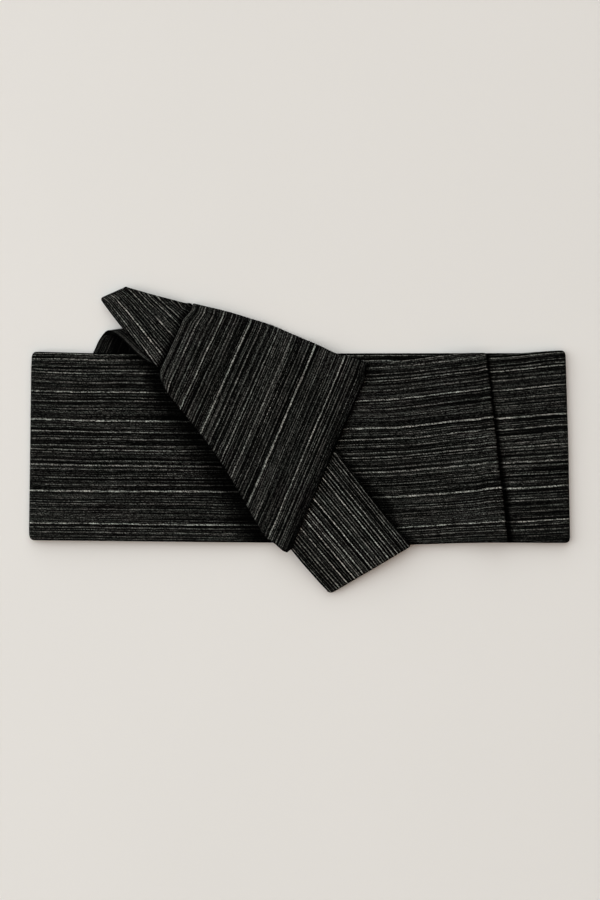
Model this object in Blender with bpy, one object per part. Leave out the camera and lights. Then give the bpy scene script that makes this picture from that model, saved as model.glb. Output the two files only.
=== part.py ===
"""Half-width obi sash, wound twice, tied in a clam's mouth knot and laid flat.

One strip of thick woven cloth.  Every stretch that shows is its own wall.
The plan is X along the band and Y across it, Z is up from the surface the sash
lies on, and the origin is the middle of the sash's box on that surface.
Tables and functions work in millimetres; meshes are made in metres.
"""
from collections import namedtuple
from math import cos, hypot, pi, radians, sin, sqrt

import bmesh
import bpy
from mathutils import Vector

for old in list(bpy.data.objects):
    bpy.data.objects.remove(old, do_unlink=True)

# ---------------------------------------------------------------- sizes, mm
MM = 0.001
CLOTH = 1.8            # thickness of one layer, two woven faces and a lining
WIDTH = 161.5          # width of the strip, selvedge to selvedge
GAP = 0.3              # air between neighbouring pieces
STEP = CLOTH + GAP     # one layer up
CORNER = 4.0           # rounding of the band's corners
UNDER = 14.0           # how far an end fold reaches under the band
TUCK = 8.0             # how far a stretch runs on under the next one
PLEAT = 11.0           # depth of the pleat's return

Z_BACK = CLOTH / 2                     # middle of the back stretch
Z_FRONT = Z_BACK + 3 * STEP            # middle of the outer turn's front
Z_OVER = Z_FRONT + STEP                # middle of cloth lying on that front
FOLD_R = 1.9                           # diagonal fold, middle radius
FOLD_OPEN = 2.7                        # extra at its upper end, round the hand end
FOLD_FOOT = 1.7                        # extra at its lower end
TOP_R = 1.2                            # the panel's top fold where it lies on the band
PLEAT_R = 1.3                          # pleat fold, middle radius
TE_HALF = CLOTH + GAP / 2              # half the thickness of the doubled hand end

# ---------------------------------------------------------------- outlines
Point = namedtuple("Point", "x y")
# Left end of the band, down from the upper selvedge.
LEFT_END = [Point(-227.2, 74.6), Point(-227.9, 60.0), Point(-229.7, -76.0), Point(-229.4, -85.2)]
# Right end of the band.
RIGHT_END = [Point(225.4, 76.4), Point(226.7, 34.0), Point(228.0, -8.6), Point(229.4, -87.3)]
# Selvedges of the outer turn's two front stretches.
UPPER_LEFT = [Point(-230.0, 74.9), Point(-174.4, 73.4), Point(-100.0, 72.8)]
LOWER_LEFT = [Point(-230.0, -85.0), Point(-174.4, -85.6), Point(-101.8, -86.4), Point(0.0, -87.3)]
UPPER_RIGHT = [Point(140.0, 70.6), Point(160.3, 71.9), Point(187.2, 73.4), Point(208.5, 75.1), Point(230.0, 76.4)]
LOWER_RIGHT = [Point(160.0, -87.0), Point(204.2, -87.3), Point(230.0, -87.4)]
# The diagonal fold where the last stretch turns up into the knot's panel.
DIAGONAL = [Point(-119.8, 56.5), Point(-112.5, 40.5), Point(-95.1, 18.3), Point(-79.2, -1.5),
            Point(-63.4, -24.5), Point(-47.5, -51.4), Point(-33.2, -76.8), Point(-26.9, -84.2),
            Point(-21.7, -87.6), Point(-18.0, -90.7), Point(-14.7, -93.8), Point(-11.9, -95.6),
            Point(-8.3, -96.6)]
# The panel's top fold, from its left selvedge to its right one.
TOP_FOLD = [Point(-90.4, 116.0), Point(-62.4, 109.3), Point(-40.3, 102.7), Point(-24.2, 97.6),
            Point(-5.0, 89.4), Point(14.2, 81.3), Point(31.1, 73.3), Point(39.1, 71.5),
            Point(48.0, 68.9), Point(58.3, 64.8)]
# The pleat's folded edge.
PLEAT_EDGE = [Point(158.2, 73.6), Point(158.9, 62.8), Point(161.3, 45.8), Point(163.3, 25.4),
              Point(166.4, 0.0), Point(169.0, -25.6), Point(172.6, -51.1), Point(174.8, -74.9),
              Point(176.8, -86.6)]
# The doubled hand end: selvedge side, folded side, height of its middle.
Te = namedtuple("Te", "lx ly rx ry z")
# A height of 0 stands for cloth that lies on the band's front.
TE_LOOP = [Te(-176.2, 71.8, -80.6, 72.1, 2.9),
           Te(-173.5, 77.7, -77.8, 81.6, 2.8),
           Te(-171.2, 82.9, -75.0, 90.0, 2.7),
           Te(-168.6, 87.4, -71.0, 97.5, 2.7),
           Te(-165.6, 90.0, -67.0, 102.2, 3.6),
           Te(-161.6, 91.0, -65.6, 103.8, 6.1),    # the roll at the top
           Te(-158.0, 90.2, -64.8, 103.0, 8.6),
           Te(-154.4, 88.6, -63.4, 100.6, 9.8),
           Te(-150.8, 86.0, -60.0, 96.6, 0.0),
           Te(-146.4, 81.8, -54.4, 91.2, 0.0),
           Te(-138.3, 73.6, -45.0, 82.0, 0.0),
           Te(-129.4, 66.8, -36.0, 72.6, 0.0),
           Te(-119.6, 62.4, -28.0, 62.8, 0.0),
           Te(-107.4, 53.6, -20.0, 53.2, 0.0),
           Te(-98.8, 41.6, -10.0, 41.2, 0.0),
           Te(-86.4, 25.0, 4.0, 23.6, 0.0)]
TE_TAIL = [Te(-54.0, -18.6, 30.0, -8.6, 0.0),
           Te(-42.0, -39.0, 44.6, -27.4, 0.0),
           Te(-30.8, -60.0, 59.5, -46.5, 0.0),
           Te(-19.0, -75.0, 68.0, -57.2, 0.0),
           Te(-10.8, -88.0, 75.9, -67.2, 0.0),
           Te(-3.5, -97.5, 81.6, -74.2, 0.0),
           Te(3.4, -105.8, 86.0, -79.4, 0.0),
           Te(10.6, -114.0, 89.4, -83.4, 0.0),
           Te(17.8, -122.2, 92.2, -86.8, 0.0),
           Te(25.8, -130.5, 94.6, -89.7, 0.0)]
TAIL_DROP = 5.4        # how far the tail's free corner sinks past the band's lower edge
# The tip of the wide end: left selvedge and upper fold.
Tip = namedtuple("Tip", "lx ly rx ry")
TIP = [Tip(-169.5, 119.9, -147.6, 129.4),
       Tip(-160.4, 107.6, -136.8, 126.4),
       Tip(-150.8, 95.4, -124.0, 122.8),
       Tip(-138.6, 81.4, -110.0, 119.2),
       Tip(-127.4, 68.0, -97.6, 116.2),
       Tip(-122.8, 63.8, -92.0, 115.7),
       Tip(-118.4, 60.6, -91.2, 110.4)]
TIP_DROOP = 3.0        # how far the tip sinks past the hand end's roll
TIP_CORNER = 2.0       # and further at its cut end
TIP_UNDER = 6.0        # and where it goes in under the panel's top fold
# The knot's hidden layers above the band, seen from above.
CORE = [Point(-66.0, 74.0), Point(-61.0, 88.0), Point(-52.0, 96.0), Point(-40.0, 93.6),
        Point(-22.0, 87.6), Point(-5.0, 80.6), Point(6.0, 75.4), Point(8.0, 74.0)]
CORE_LAYERS = 3

# ---------------------------------------------------------------- materials
Finish = namedtuple("Finish", "name colour roughness")
FINISHES = [Finish("cloth", (0.012, 0.012, 0.013), 0.82),
            Finish("cloth_inner", (0.010, 0.010, 0.011), 0.86)]


# ---------------------------------------------------------------- helpers
def smooth(t):
    t = min(1.0, max(0.0, t))
    return t * t * (3.0 - 2.0 * t)


def lerp(a, b, t):
    return a + (b - a) * t


def at(rows, key, t):
    """Row values at t, read off a table sorted by key(row), straight between rows."""
    keys = [key(r) for r in rows]
    if keys[0] > keys[-1]:
        rows, keys = rows[::-1], keys[::-1]
    t = min(max(t, keys[0]), keys[-1])
    for i in range(len(rows) - 1):
        if t <= keys[i + 1]:
            share = (t - keys[i]) / (keys[i + 1] - keys[i])
            return [lerp(a, b, share) for a, b in zip(rows[i], rows[i + 1])]
    return list(rows[-1])


def y_of(rail, x):
    return at(rail, lambda p: p.x, x)[1]


def x_of(rail, y):
    return at(rail, lambda p: p.y, y)[0]


def share_of(rail, across):
    """A function of the share of the strip's width, measured along across."""
    first = rail[0].x * across[0] + rail[0].y * across[1]
    last = rail[-1].x * across[0] + rail[-1].y * across[1]
    rows = [((p.x * across[0] + p.y * across[1] - first) / (last - first), p.x, p.y) for p in rail]
    return lambda v: at(rows, lambda r: r[0], v)[1:]


def inset(rail, amount, side):
    """The rail moved sideways in plan; side is 1 to its left, -1 to its right."""
    out = []
    for i, p in enumerate(rail):
        a, b = rail[max(i - 1, 0)], rail[min(i + 1, len(rail) - 1)]
        dx, dy = b.x - a.x, b.y - a.y
        size = hypot(dx, dy)
        out.append(Point(p.x - side * amount * dy / size, p.y + side * amount * dx / size))
    return out


def closed(name, verts, faces, finish):
    mesh = bpy.data.meshes.new(name)
    mesh.from_pydata([[c * MM for c in v] for v in verts], [], faces)
    work = bmesh.new()
    work.from_mesh(mesh)
    bmesh.ops.recalc_face_normals(work, faces=work.faces)
    bmesh.ops.triangulate(work, faces=work.faces)
    work.to_mesh(mesh)
    work.free()
    mesh.shade_smooth()
    mesh.set_sharp_from_angle(angle=radians(40))
    thing = bpy.data.objects.new(name, mesh)
    bpy.context.scene.collection.objects.link(thing)
    paint = bpy.data.materials.new(name + "_" + finish.name)
    paint.use_nodes = True
    shader = next(n for n in paint.node_tree.nodes if n.type == "BSDF_PRINCIPLED")
    shader.inputs["Base Color"].default_value = (*finish.colour, 1.0)
    shader.inputs["Roughness"].default_value = finish.roughness
    shader.inputs["Metallic"].default_value = 0.0
    mesh.materials.append(paint)
    return thing


def wall(name, rows, finish, thick=CLOTH):
    """A closed wall of cloth whose middle surface runs through a grid of points."""
    grid = [[Vector(p) for p in row] for row in rows]
    m, n = len(grid), len(grid[0])
    top, bottom = [], []
    for i in range(m):
        for j in range(n):
            along = grid[min(i + 1, m - 1)][j] - grid[max(i - 1, 0)][j]
            across = grid[i][min(j + 1, n - 1)] - grid[i][max(j - 1, 0)]
            up = along.cross(across).normalized() * (thick / 2)
            top.append(grid[i][j] + up)
            bottom.append(grid[i][j] - up)
    size = m * n
    faces = []
    for i in range(m - 1):
        for j in range(n - 1):
            a, b, c, d = i * n + j, (i + 1) * n + j, (i + 1) * n + j + 1, i * n + j + 1
            faces += [(a, b, c, d), (a + size, d + size, c + size, b + size)]
    rim = ([(0, j) for j in range(n - 1)] + [(i, n - 1) for i in range(m - 1)]
           + [(m - 1, j) for j in range(n - 1, 0, -1)] + [(i, 0) for i in range(m - 1, 0, -1)])
    for k, (i, j) in enumerate(rim):
        a = i * n + j
        b = rim[(k + 1) % len(rim)][0] * n + rim[(k + 1) % len(rim)][1]
        faces.append((a, b, b + size, a + size))
    return closed(name, top + bottom, faces, finish)


def doubled(rows, turns=4):
    """Rows of a middle surface made into rows of a cloth folded in half on its last column."""
    grid = [[Vector(p) for p in row] for row in rows]
    m, n = len(grid), len(grid[0])
    out = []
    for i in range(m):
        upper, lower, arc = [], [], []
        for j in range(n):
            along = grid[min(i + 1, m - 1)][j] - grid[max(i - 1, 0)][j]
            across = grid[i][min(j + 1, n - 1)] - grid[i][max(j - 1, 0)]
            up = along.cross(across).normalized() * (STEP / 2)
            if j == n - 1:
                side = across.normalized() * (STEP / 2)
                centre = grid[i][j] - across.normalized() * (STEP / 2 + CLOTH / 2)
                arc = [centre + up * cos(pi * k / turns) + side * sin(pi * k / turns)
                       for k in range(turns + 1)]
            else:
                upper.append(grid[i][j] + up)
                lower.append(grid[i][j] - up)
        out.append(upper + arc + lower[::-1])
    return out


def corner(distance):
    """How far a rounded corner draws an end in, this far from the selvedge."""
    if distance >= CORNER:
        return 0.0
    return CORNER - sqrt(CORNER ** 2 - (CORNER - distance) ** 2)


WIDTH_SHARES = [0.0, 0.008, 0.025, 0.10, 0.24, 0.38, 0.52, 0.66, 0.80, 0.91, 0.975, 0.992, 1.0]


# ---------------------------------------------------------------- heights
# The diagonal fold's straight run, carried on past its foot.
KNOT_SIDE = DIAGONAL[:7] + [Point(-7.4, -122.6)]
DIAG_DIR = ((DIAGONAL[-1].x - DIAGONAL[0].x), (DIAGONAL[-1].y - DIAGONAL[0].y))


def into_knot(x, y):
    """Distance in plan from the diagonal fold, positive on the knot's side."""
    best, sign = 1e9, 1.0
    for a, b in zip(KNOT_SIDE, KNOT_SIDE[1:]):
        dx, dy = b.x - a.x, b.y - a.y
        t = min(1.0, max(0.0, ((x - a.x) * dx + (y - a.y) * dy) / (dx * dx + dy * dy)))
        ox, oy = x - (a.x + dx * t), y - (a.y + dy * t)
        far = hypot(ox, oy)
        if far < best:
            best, sign = far, 1.0 if dx * (y - a.y) - dy * (x - a.x) > 0 else -1.0
    return best * sign


def outer_height(x, y):
    """Middle of the last stretch: it lies on the left front's end, then on the inner turn."""
    return lerp(Z_OVER, Z_FRONT, smooth((into_knot(x, y) - TUCK - 5.0) / 20.0))


def rail_distance(rail, x, y):
    """Signed distance from a rail, positive to its left as it runs."""
    best, sign = 1e9, 1.0
    for a, b in zip(rail, rail[1:]):
        dx, dy = b[0] - a[0], b[1] - a[1]
        t = min(1.0, max(0.0, ((x - a[0]) * dx + (y - a[1]) * dy) / (dx * dx + dy * dy)))
        far = hypot(x - a[0] - dx * t, y - a[1] - dy * t)
        if far < best:
            best, sign = far, 1.0 if dx * (y - a[1]) - dy * (x - a[0]) > 0 else -1.0
    return best * sign


TE_FRONT = TE_LOOP[7:] + TE_TAIL
TE_L = [(r.lx, r.ly) for r in TE_FRONT]
TE_R = [(r.rx, r.ry) for r in TE_FRONT]


def te_cover(x, y):
    """1 over the hand end, easing to 0 beside it: quickly on its left, slowly on its right."""
    left = rail_distance(TE_L, x, y)          # positive over the hand end
    right = -rail_distance(TE_R, x, y)
    return smooth((left + 13.0) / 8.0) * smooth((right + 30.0) / 28.0)


def tip_cover(x, y):
    """1 over the wide end's tip where it runs under the panel, easing off to its right."""
    return smooth((-62.0 - x) / 18.0) * smooth((y - 36.0) / 14.0)


def lying(x, y):
    """Middle height of one layer lying on the knot's foot, on the band and above it."""
    if y < 60.0:
        return outer_height(x, y)
    return lerp(outer_height(x, 60.0), 6.4, smooth((y - 60.0) / 30.0))


def te_height(x, y):
    return lying(x, y) + CLOTH / 2 + GAP + TE_HALF + 0.45


def panel_height(x, y):
    return (lying(x, y) + STEP + 0.4 + (2 * TE_HALF + GAP + 0.6) * te_cover(x, y)
            + (STEP + 0.15) * tip_cover(x, y))


def fold_radius(v):
    """The diagonal fold opens at both ends, where it goes round the hand end."""
    return FOLD_R + FOLD_OPEN * (1.0 - smooth(v / 0.16)) + FOLD_FOOT * smooth((v - 0.86) / 0.14)


# ---------------------------------------------------------------- the band
def front_with_end(name, upper, lower, end, inner_x, sign, columns):
    """A front stretch with the end fold round to the underside; sign is -1 at the left end."""
    radius = (Z_FRONT - Z_BACK) / 2
    rows = []
    for v in WIDTH_SHARES:
        y_end = lerp(y_of(upper, end[0].x), y_of(lower, end[-1].x), v)
        tip = x_of(end, y_end)
        near = min(v, 1 - v) * (end[0].y - end[-1].y)
        tip -= sign * corner(near)
        turn = tip - sign * (radius + CLOTH / 2)
        row = []
        start = inner_x(v)
        for k in range(columns):
            x = lerp(start, turn, k / (columns - 1))
            row.append((x, lerp(y_of(upper, x), y_of(lower, x), v), Z_FRONT))
        for k in range(1, 7):
            a = pi * k / 7
            x = turn + sign * radius * sin(a)
            row.append((x, lerp(y_of(upper, x), y_of(lower, x), v),
                        Z_BACK + radius + radius * cos(a)))
        for x in (turn, turn - sign * UNDER):
            row.append((x, lerp(y_of(upper, x), y_of(lower, x), v), Z_BACK))
        rows.append(row)
    return wall(name, rows, finish_of(name))


def finish_of(name):
    return FINISHES[1] if name in ("wrap_inner", "knot_core", "wrap_back") else FINISHES[0]


hidden_left = inset(KNOT_SIDE, TUCK, 1)


def left_inner_x(v):
    y = lerp(72.8, -86.9, v)
    if y > hidden_left[0].y:
        return hidden_left[0].x - (y - hidden_left[0].y) * 0.75
    return x_of(hidden_left, y)


def right_inner_x(v):
    return x_of(PLEAT_EDGE, lerp(72.0, -86.6, v)) - PLEAT - 1.0


front_with_end("wrap_left_front", UPPER_LEFT, LOWER_LEFT, LEFT_END, left_inner_x, -1, 8)
front_with_end("wrap_right_front", UPPER_RIGHT, LOWER_RIGHT, RIGHT_END, right_inner_x, 1, 6)

def behind_loop(x):
    """1 where the hand end's loop comes up against the hidden layers' upper selvedges."""
    return smooth((x + 193.0) / 11.0) * smooth((-69.0 - x) / 11.0)


# Back stretch: one flat layer between the two end folds.
RADIUS_END = (Z_FRONT - Z_BACK) / 2
back_rows = []
for v in WIDTH_SHARES[::2]:
    row = []
    for k in range(8):
        left = x_of(LEFT_END, lerp(74, -85, v)) + corner(min(v, 1 - v) * 160) + RADIUS_END + CLOTH / 2 + UNDER + GAP
        right = x_of(RIGHT_END, lerp(76, -87, v)) - corner(min(v, 1 - v) * 160) - RADIUS_END - CLOTH / 2 - UNDER - GAP
        x = (left, -193.0, -182.0, -80.0, -69.0, 0.0, 110.0, right)[k]
        upper = lerp(y_of(UPPER_LEFT, -210), y_of(UPPER_RIGHT, 210), (x + 215) / 430) - 1.3
        upper -= 3.0 * behind_loop(x)
        lower = lerp(y_of(LOWER_LEFT, -210), y_of(LOWER_RIGHT, 210), (x + 215) / 430) + 0.8
        row.append((x, lerp(upper, lower, v), Z_BACK))
    back_rows.append(row)
wall("wrap_back", back_rows, finish_of("wrap_back"))


# Inner turn: two hidden layers as one solid, round at its end folds and grooved at its selvedges.
def inner_turn():
    low, high = CLOTH + GAP, 3 * CLOTH + 2 * GAP
    # Columns: inset from the selvedge, height.
    Lip = namedtuple("Lip", "inset z")
    profile = [Lip(0.7, low), Lip(0.1, low + 0.5), Lip(0.1, low + 1.3), Lip(0.8, (low + high) / 2),
               Lip(0.1, high - 1.3), Lip(0.1, high - 0.5), Lip(0.7, high)]
    half = (high - low) / 2
    sections = []
    xs = [-1.0, -0.985, -0.9, -0.857, -0.808, -0.6, -0.352, -0.303, 0.0, 0.15, 0.3, 0.45, 0.6, 0.8, 0.985, 1.0]
    for s in xs:
        left = -229.0 + CLOTH + GAP + 2.0
        right = 226.4 - CLOTH - GAP - 2.0
        x = lerp(left, right, (s + 1) / 2)
        squeeze = 1.0 if abs(s) < 0.99 else 0.45
        upper = lerp(73.4, 73.3, (s + 1) / 2) - 0.7 - (1 - squeeze) * 3.0 - 2.2 * behind_loop(x)
        lower = lerp(-84.6, -86.6, (s + 1) / 2) + 0.6 + (1 - squeeze) * 3.0
        ring = []
        for lip in profile:
            ring.append((x, upper - lip.inset, lerp(low + half, lip.z, squeeze)))
        for lip in reversed(profile):
            ring.append((x, lower + lip.inset, lerp(low + half, lip.z, squeeze)))
        sections.append(ring)
    n = len(sections[0])
    verts = [p for ring in sections for p in ring]
    faces = []
    for i in range(len(sections) - 1):
        for j in range(n):
            a, b = i * n + j, i * n + (j + 1) % n
            faces.append((a, b, b + n, a + n))
    faces += [tuple(range(n)), tuple((len(sections) - 1) * n + j for j in range(n))[::-1]]
    return closed("wrap_inner", verts, faces, finish_of("wrap_inner"))


inner_turn()


# Last stretch of the outer turn, from the diagonal fold to the pleat's fold.
# Upper edge of the last stretch: it climbs to the top of the band just before the pleat.
LAST_TOP = [Point(-112.0, 57.5), Point(0.0, 60.6), Point(59.0, 64.4), Point(93.7, 68.8),
            Point(125.0, 72.5), Point(140.0, 73.2), Point(160.0, 73.6)]
LAST_FOOT = [Point(-5.0, -92.5), Point(40.0, -90.4), Point(88.0, -89.0), Point(130.0, -87.7),
             Point(177.0, -86.6)]


def last_stretch():
    across = (sin(radians(6.0)), -cos(radians(6.0)))
    end = share_of(PLEAT_EDGE, across)
    start_x, start_y = share_of(inset(DIAGONAL, fold_radius(0.0) + CLOTH / 2 + GAP + 0.9, 1), across)(0.0)
    top_x, top_y = end(0.0)
    low_x, low_y = share_of(inset(DIAGONAL, fold_radius(1.0) + CLOTH / 2 + GAP + 0.9, 1), across)(1.0)
    foot_x, foot_y = end(1.0)
    rows = []
    for v in WIDTH_SHARES:
        sx, sy = share_of(inset(DIAGONAL, fold_radius(v) + CLOTH / 2 + GAP + 0.9, 1), across)(v)
        ex, ey = end(v)
        ex -= corner(min(v, 1 - v) * 160) * 0.6
        turn = ex - PLEAT_R - CLOTH / 2
        row = []
        for k in range(13):
            t = k / 12
            t = t * 0.35 + 0.65 * (t ** 1.3 if t < 0.5 else t)
            x = lerp(sx, turn, t)
            straight = lerp(start_y, top_y, (x - start_x) / (top_x - start_x))
            sag = (y_of(LAST_TOP, x) - straight) * (1 - v)
            straight = lerp(low_y, foot_y, (x - low_x) / (foot_x - low_x))
            sag += (y_of(LAST_FOOT, x) - straight) * v
            y = lerp(sy, ey, t) + sag * smooth(t / 0.2) * smooth((1 - t) / 0.04)
            z = outer_height(x, y) + (STEP + 2 * PLEAT_R) * smooth((t - 0.80) / 0.13)
            row.append((x, y, z))
        for k in range(1, 5):
            a = pi * k / 5
            row.append((turn + PLEAT_R * sin(a), ey, Z_OVER + PLEAT_R + PLEAT_R * cos(a)))
        for k in range(3):
            row.append((turn - (PLEAT - 2) * k / 2, ey, Z_OVER))
        rows.append(row)
    return wall("wrap_outer_front", rows, finish_of("wrap_outer_front"))


last_stretch()


# ---------------------------------------------------------------- the knot
def knot_panel():
    tilt = radians(24.2)
    across = (cos(tilt), -sin(tilt))
    roll_in = 6.0
    top = share_of(inset(TOP_FOLD, roll_in, -1), across)
    edge = share_of(inset(TOP_FOLD, CLOTH / 2, -1), across)
    dx, dy = DIAG_DIR[1], -DIAG_DIR[0]
    size = hypot(dx, dy)
    dx, dy = dx / size, dy / size
    rows = []
    for v in [0.0, 0.03, 0.08, 0.15, 0.24, 0.33, 0.42, 0.51, 0.60, 0.69, 0.78, 0.86, 0.93, 0.98, 1.0]:
        radius = fold_radius(v)
        fx, fy = share_of(inset(DIAGONAL, radius + CLOTH / 2, 1), across)(v)
        tx, ty = top(v)
        ox, oy = edge(v)
        over_top = smooth((oy - 79.0) / 14.0)
        foot = lerp(Z_OVER + 0.25, 1.9, over_top)

        def height(x, y):
            near = smooth(1 - hypot(x - tx, y - ty) / 26.0)
            z = panel_height(x, y)
            fold = foot + 2 * TOP_R + 0.1
            z = lerp(z, max(z, fold), near) - 0.5 * near * over_top
            rise = smooth(hypot(x - fx, y - fy) / lerp(9.0, 5.0, smooth((v - 0.75) / 0.2)))
            return lerp(Z_OVER + 2 * radius, z, rise)

        row = []
        z_top = height(tx, ty)
        # The left-hand selvedge bows out all the way down to the fold.
        bow = 3.0 * smooth((26.0 - v * WIDTH) / 26.0)
        for k in range(5):
            a = pi / 2 * k / 5
            row.append((lerp(tx, ox, cos(a)), lerp(ty, oy, cos(a)), foot + (z_top - foot) * sin(a)))
        for k in range(13):
            t = (1 - k / 12) ** 1.5
            # The right-hand selvedge swells out below its corner.
            out = 2.7 * t * smooth((1 - t) / 0.05) * smooth((v * WIDTH - 150.0) / 10.5)
            out -= bow * smooth((1 - t) / 0.2)
            x, y = lerp(fx, tx, t) + out * across[0], lerp(fy, ty, t) + out * across[1]
            row.append((x, y, height(x, y)))
        # Round the diagonal fold, square to it.
        for k in range(1, 6):
            a = pi * k / 5
            out = bow * (1 - sin(a)) if a < pi / 2 else 0.0
            row.append((fx + dx * radius * sin(a) - out * across[0], fy + dy * radius * sin(a) - out * across[1],
                        Z_OVER + radius + radius * cos(a)))
        rows.append(row)
    return wall("knot_panel", rows, finish_of("knot_panel"))


knot_panel()


TE_SHARES = [0.0, 0.04, 0.2, 0.4, 0.6, 0.8, 0.93, 1.0]


def te_rows(table):
    """Middle surface of the doubled hand end; past the band's lower edge it sinks."""
    rows = []
    for r in table:
        row = []
        for v in TE_SHARES:
            x, y = lerp(r.lx, r.rx, v), lerp(r.ly, r.ry, v)
            z = r.z or te_height(x, y)
            row.append((x, y, z - TAIL_DROP * smooth((-97.0 - y) / 34.0)))
        rows.append(row)
    return rows


wall("te_loop", doubled(te_rows(TE_LOOP)), finish_of("te_loop"))
wall("te_tail", doubled(te_rows(TE_TAIL)), finish_of("te_tail"))


def tare_tip():
    radius = 1.2
    rows = []
    for r in TIP:
        row = []
        size = hypot(r.rx - r.lx, r.ry - r.ly)
        ux, uy = (r.rx - r.lx) / size, (r.ry - r.ly) / size
        turn = size - radius - CLOTH / 2
        for v in (0.0, 0.06, 0.25, 0.45, 0.65, 0.85, 1.0):
            x, y = r.lx + ux * turn * v, r.ly + uy * turn * v
            past_roll = y - lerp(92.0, 105.2, min(1.0, max(0.0, (x + 163.0) / 97.0)))
            z = te_height(x, y) + TE_HALF + GAP + CLOTH / 2 + 0.1
            under = smooth((y - 107.5) / 5.0) * smooth((x + 106.0) / 12.0)
            row.append((x, y, z - TIP_DROOP * smooth((past_roll - 1.0) / 14.0)
                        - TIP_CORNER * smooth((-145.0 - x) / 20.0) - TIP_UNDER * under))
        z = row[-1][2] - radius
        for k in range(1, 5):
            a = pi * k / 5
            row.append((r.lx + ux * (turn + radius * sin(a)), r.ly + uy * (turn + radius * sin(a)),
                        z + radius * cos(a)))
        for back in (0.0, 1.5):
            row.append((r.lx + ux * (turn - back), r.ly + uy * (turn - back), z - radius))
        rows.append(row)
    return wall("tare_tip", rows, finish_of("tare_tip"))


tare_tip()


def knot_core():
    """The knot's hidden layers above the band: a plate with one groove between each two layers."""
    levels = []
    for k in range(CORE_LAYERS):
        z0 = k * STEP
        levels += [(0.7, z0), (0.1, z0 + 0.5), (0.1, z0 + CLOTH - 0.5), (0.7, z0 + CLOTH)]
    levels = [levels[0]] + [p for i, p in enumerate(levels[1:-1]) if (i + 1) % 4 != 0] + [levels[-1]]
    cx = sum(p.x for p in CORE) / len(CORE)
    cy = sum(p.y for p in CORE) / len(CORE)
    rings = []
    for draw_in, z in levels:
        ring = []
        for p in CORE:
            size = hypot(p.x - cx, p.y - cy)
            ring.append((p.x - (p.x - cx) / size * draw_in, max(p.y - (p.y - cy) / size * draw_in, 74.0), z))
        rings.append(ring)
    n = len(CORE)
    verts = [p for ring in rings for p in ring]
    faces = []
    for i in range(len(rings) - 1):
        for j in range(n):
            a, b = i * n + j, i * n + (j + 1) % n
            faces.append((a, b, b + n, a + n))
    faces += [tuple(range(n)), tuple((len(rings) - 1) * n + j for j in range(n))[::-1]]
    return closed("knot_core", verts, faces, finish_of("knot_core"))


knot_core()
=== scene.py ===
"""Looks of the laid-out obi sash: every stretch as fine cloth with its woven stripes."""
from collections import namedtuple
import math

import bmesh
import bpy
import numpy as np
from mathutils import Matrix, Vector


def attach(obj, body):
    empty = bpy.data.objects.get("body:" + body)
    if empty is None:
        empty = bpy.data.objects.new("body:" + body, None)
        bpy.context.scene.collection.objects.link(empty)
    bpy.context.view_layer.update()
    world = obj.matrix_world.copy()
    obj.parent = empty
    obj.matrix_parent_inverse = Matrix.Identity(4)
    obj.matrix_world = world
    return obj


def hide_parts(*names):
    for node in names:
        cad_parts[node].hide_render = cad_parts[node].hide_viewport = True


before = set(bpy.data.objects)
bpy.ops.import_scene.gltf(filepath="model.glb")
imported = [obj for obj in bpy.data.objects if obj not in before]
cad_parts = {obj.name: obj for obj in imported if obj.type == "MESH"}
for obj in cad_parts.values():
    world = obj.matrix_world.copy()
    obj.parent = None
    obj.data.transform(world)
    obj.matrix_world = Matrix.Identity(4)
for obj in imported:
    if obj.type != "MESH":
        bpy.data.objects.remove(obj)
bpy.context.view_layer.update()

# ------------------------------------------------------------------ sizes, mm
MM = 0.001
WIDTH = 161.5
CLOTH, GAP, CORNER, UNDER, TUCK, PLEAT = 1.8, 0.3, 4.0, 14.0, 8.0, 11.0
STEP = CLOTH + GAP
Z_BACK = CLOTH / 2
Z_FRONT = Z_BACK + 3 * STEP
Z_OVER = Z_FRONT + STEP
FOLD_R, FOLD_OPEN, FOLD_FOOT, TOP_R, PLEAT_R = 1.9, 2.7, 1.7, 1.2, 1.3
TE_HALF = CLOTH + GAP / 2
EDGE = 0.85            # rounding of a selvedge
FINE = [0.0, 0.06, 0.2, 0.45, 0.85, 1.3, 1.9]

LEFT_END = [(-227.2, 74.6), (-227.9, 60.0), (-229.7, -76.0), (-229.4, -85.2)]
RIGHT_END = [(225.4, 76.4), (226.7, 34.0), (228.0, -8.6), (229.4, -87.3)]
UPPER_LEFT = [(-230.0, 74.9), (-174.4, 73.4), (-100.0, 72.8)]
LOWER_LEFT = [(-230.0, -85.0), (-174.4, -85.6), (-101.8, -86.4), (0.0, -87.3)]
UPPER_RIGHT = [(140.0, 70.6), (160.3, 71.9), (187.2, 73.4), (208.5, 75.1), (230.0, 76.4)]
LOWER_RIGHT = [(160.0, -87.0), (204.2, -87.3), (230.0, -87.4)]
DIAGONAL = [(-119.8, 56.5), (-112.5, 40.5), (-95.1, 18.3), (-79.2, -1.5), (-63.4, -24.5),
            (-47.5, -51.4), (-33.2, -76.8), (-26.9, -84.2), (-21.7, -87.6), (-18.0, -90.7),
            (-14.7, -93.8), (-11.9, -95.6), (-8.3, -96.6)]
TOP_FOLD = [(-90.4, 116.0), (-62.4, 109.3), (-40.3, 102.7), (-24.2, 97.6), (-5.0, 89.4),
            (14.2, 81.3), (31.1, 73.3), (39.1, 71.5), (48.0, 68.9), (58.3, 64.8)]
PLEAT_EDGE = [(158.2, 73.6), (158.9, 62.8), (161.3, 45.8), (163.3, 25.4), (166.4, 0.0),
              (169.0, -25.6), (172.6, -51.1), (174.8, -74.9), (176.8, -86.6)]
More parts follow.
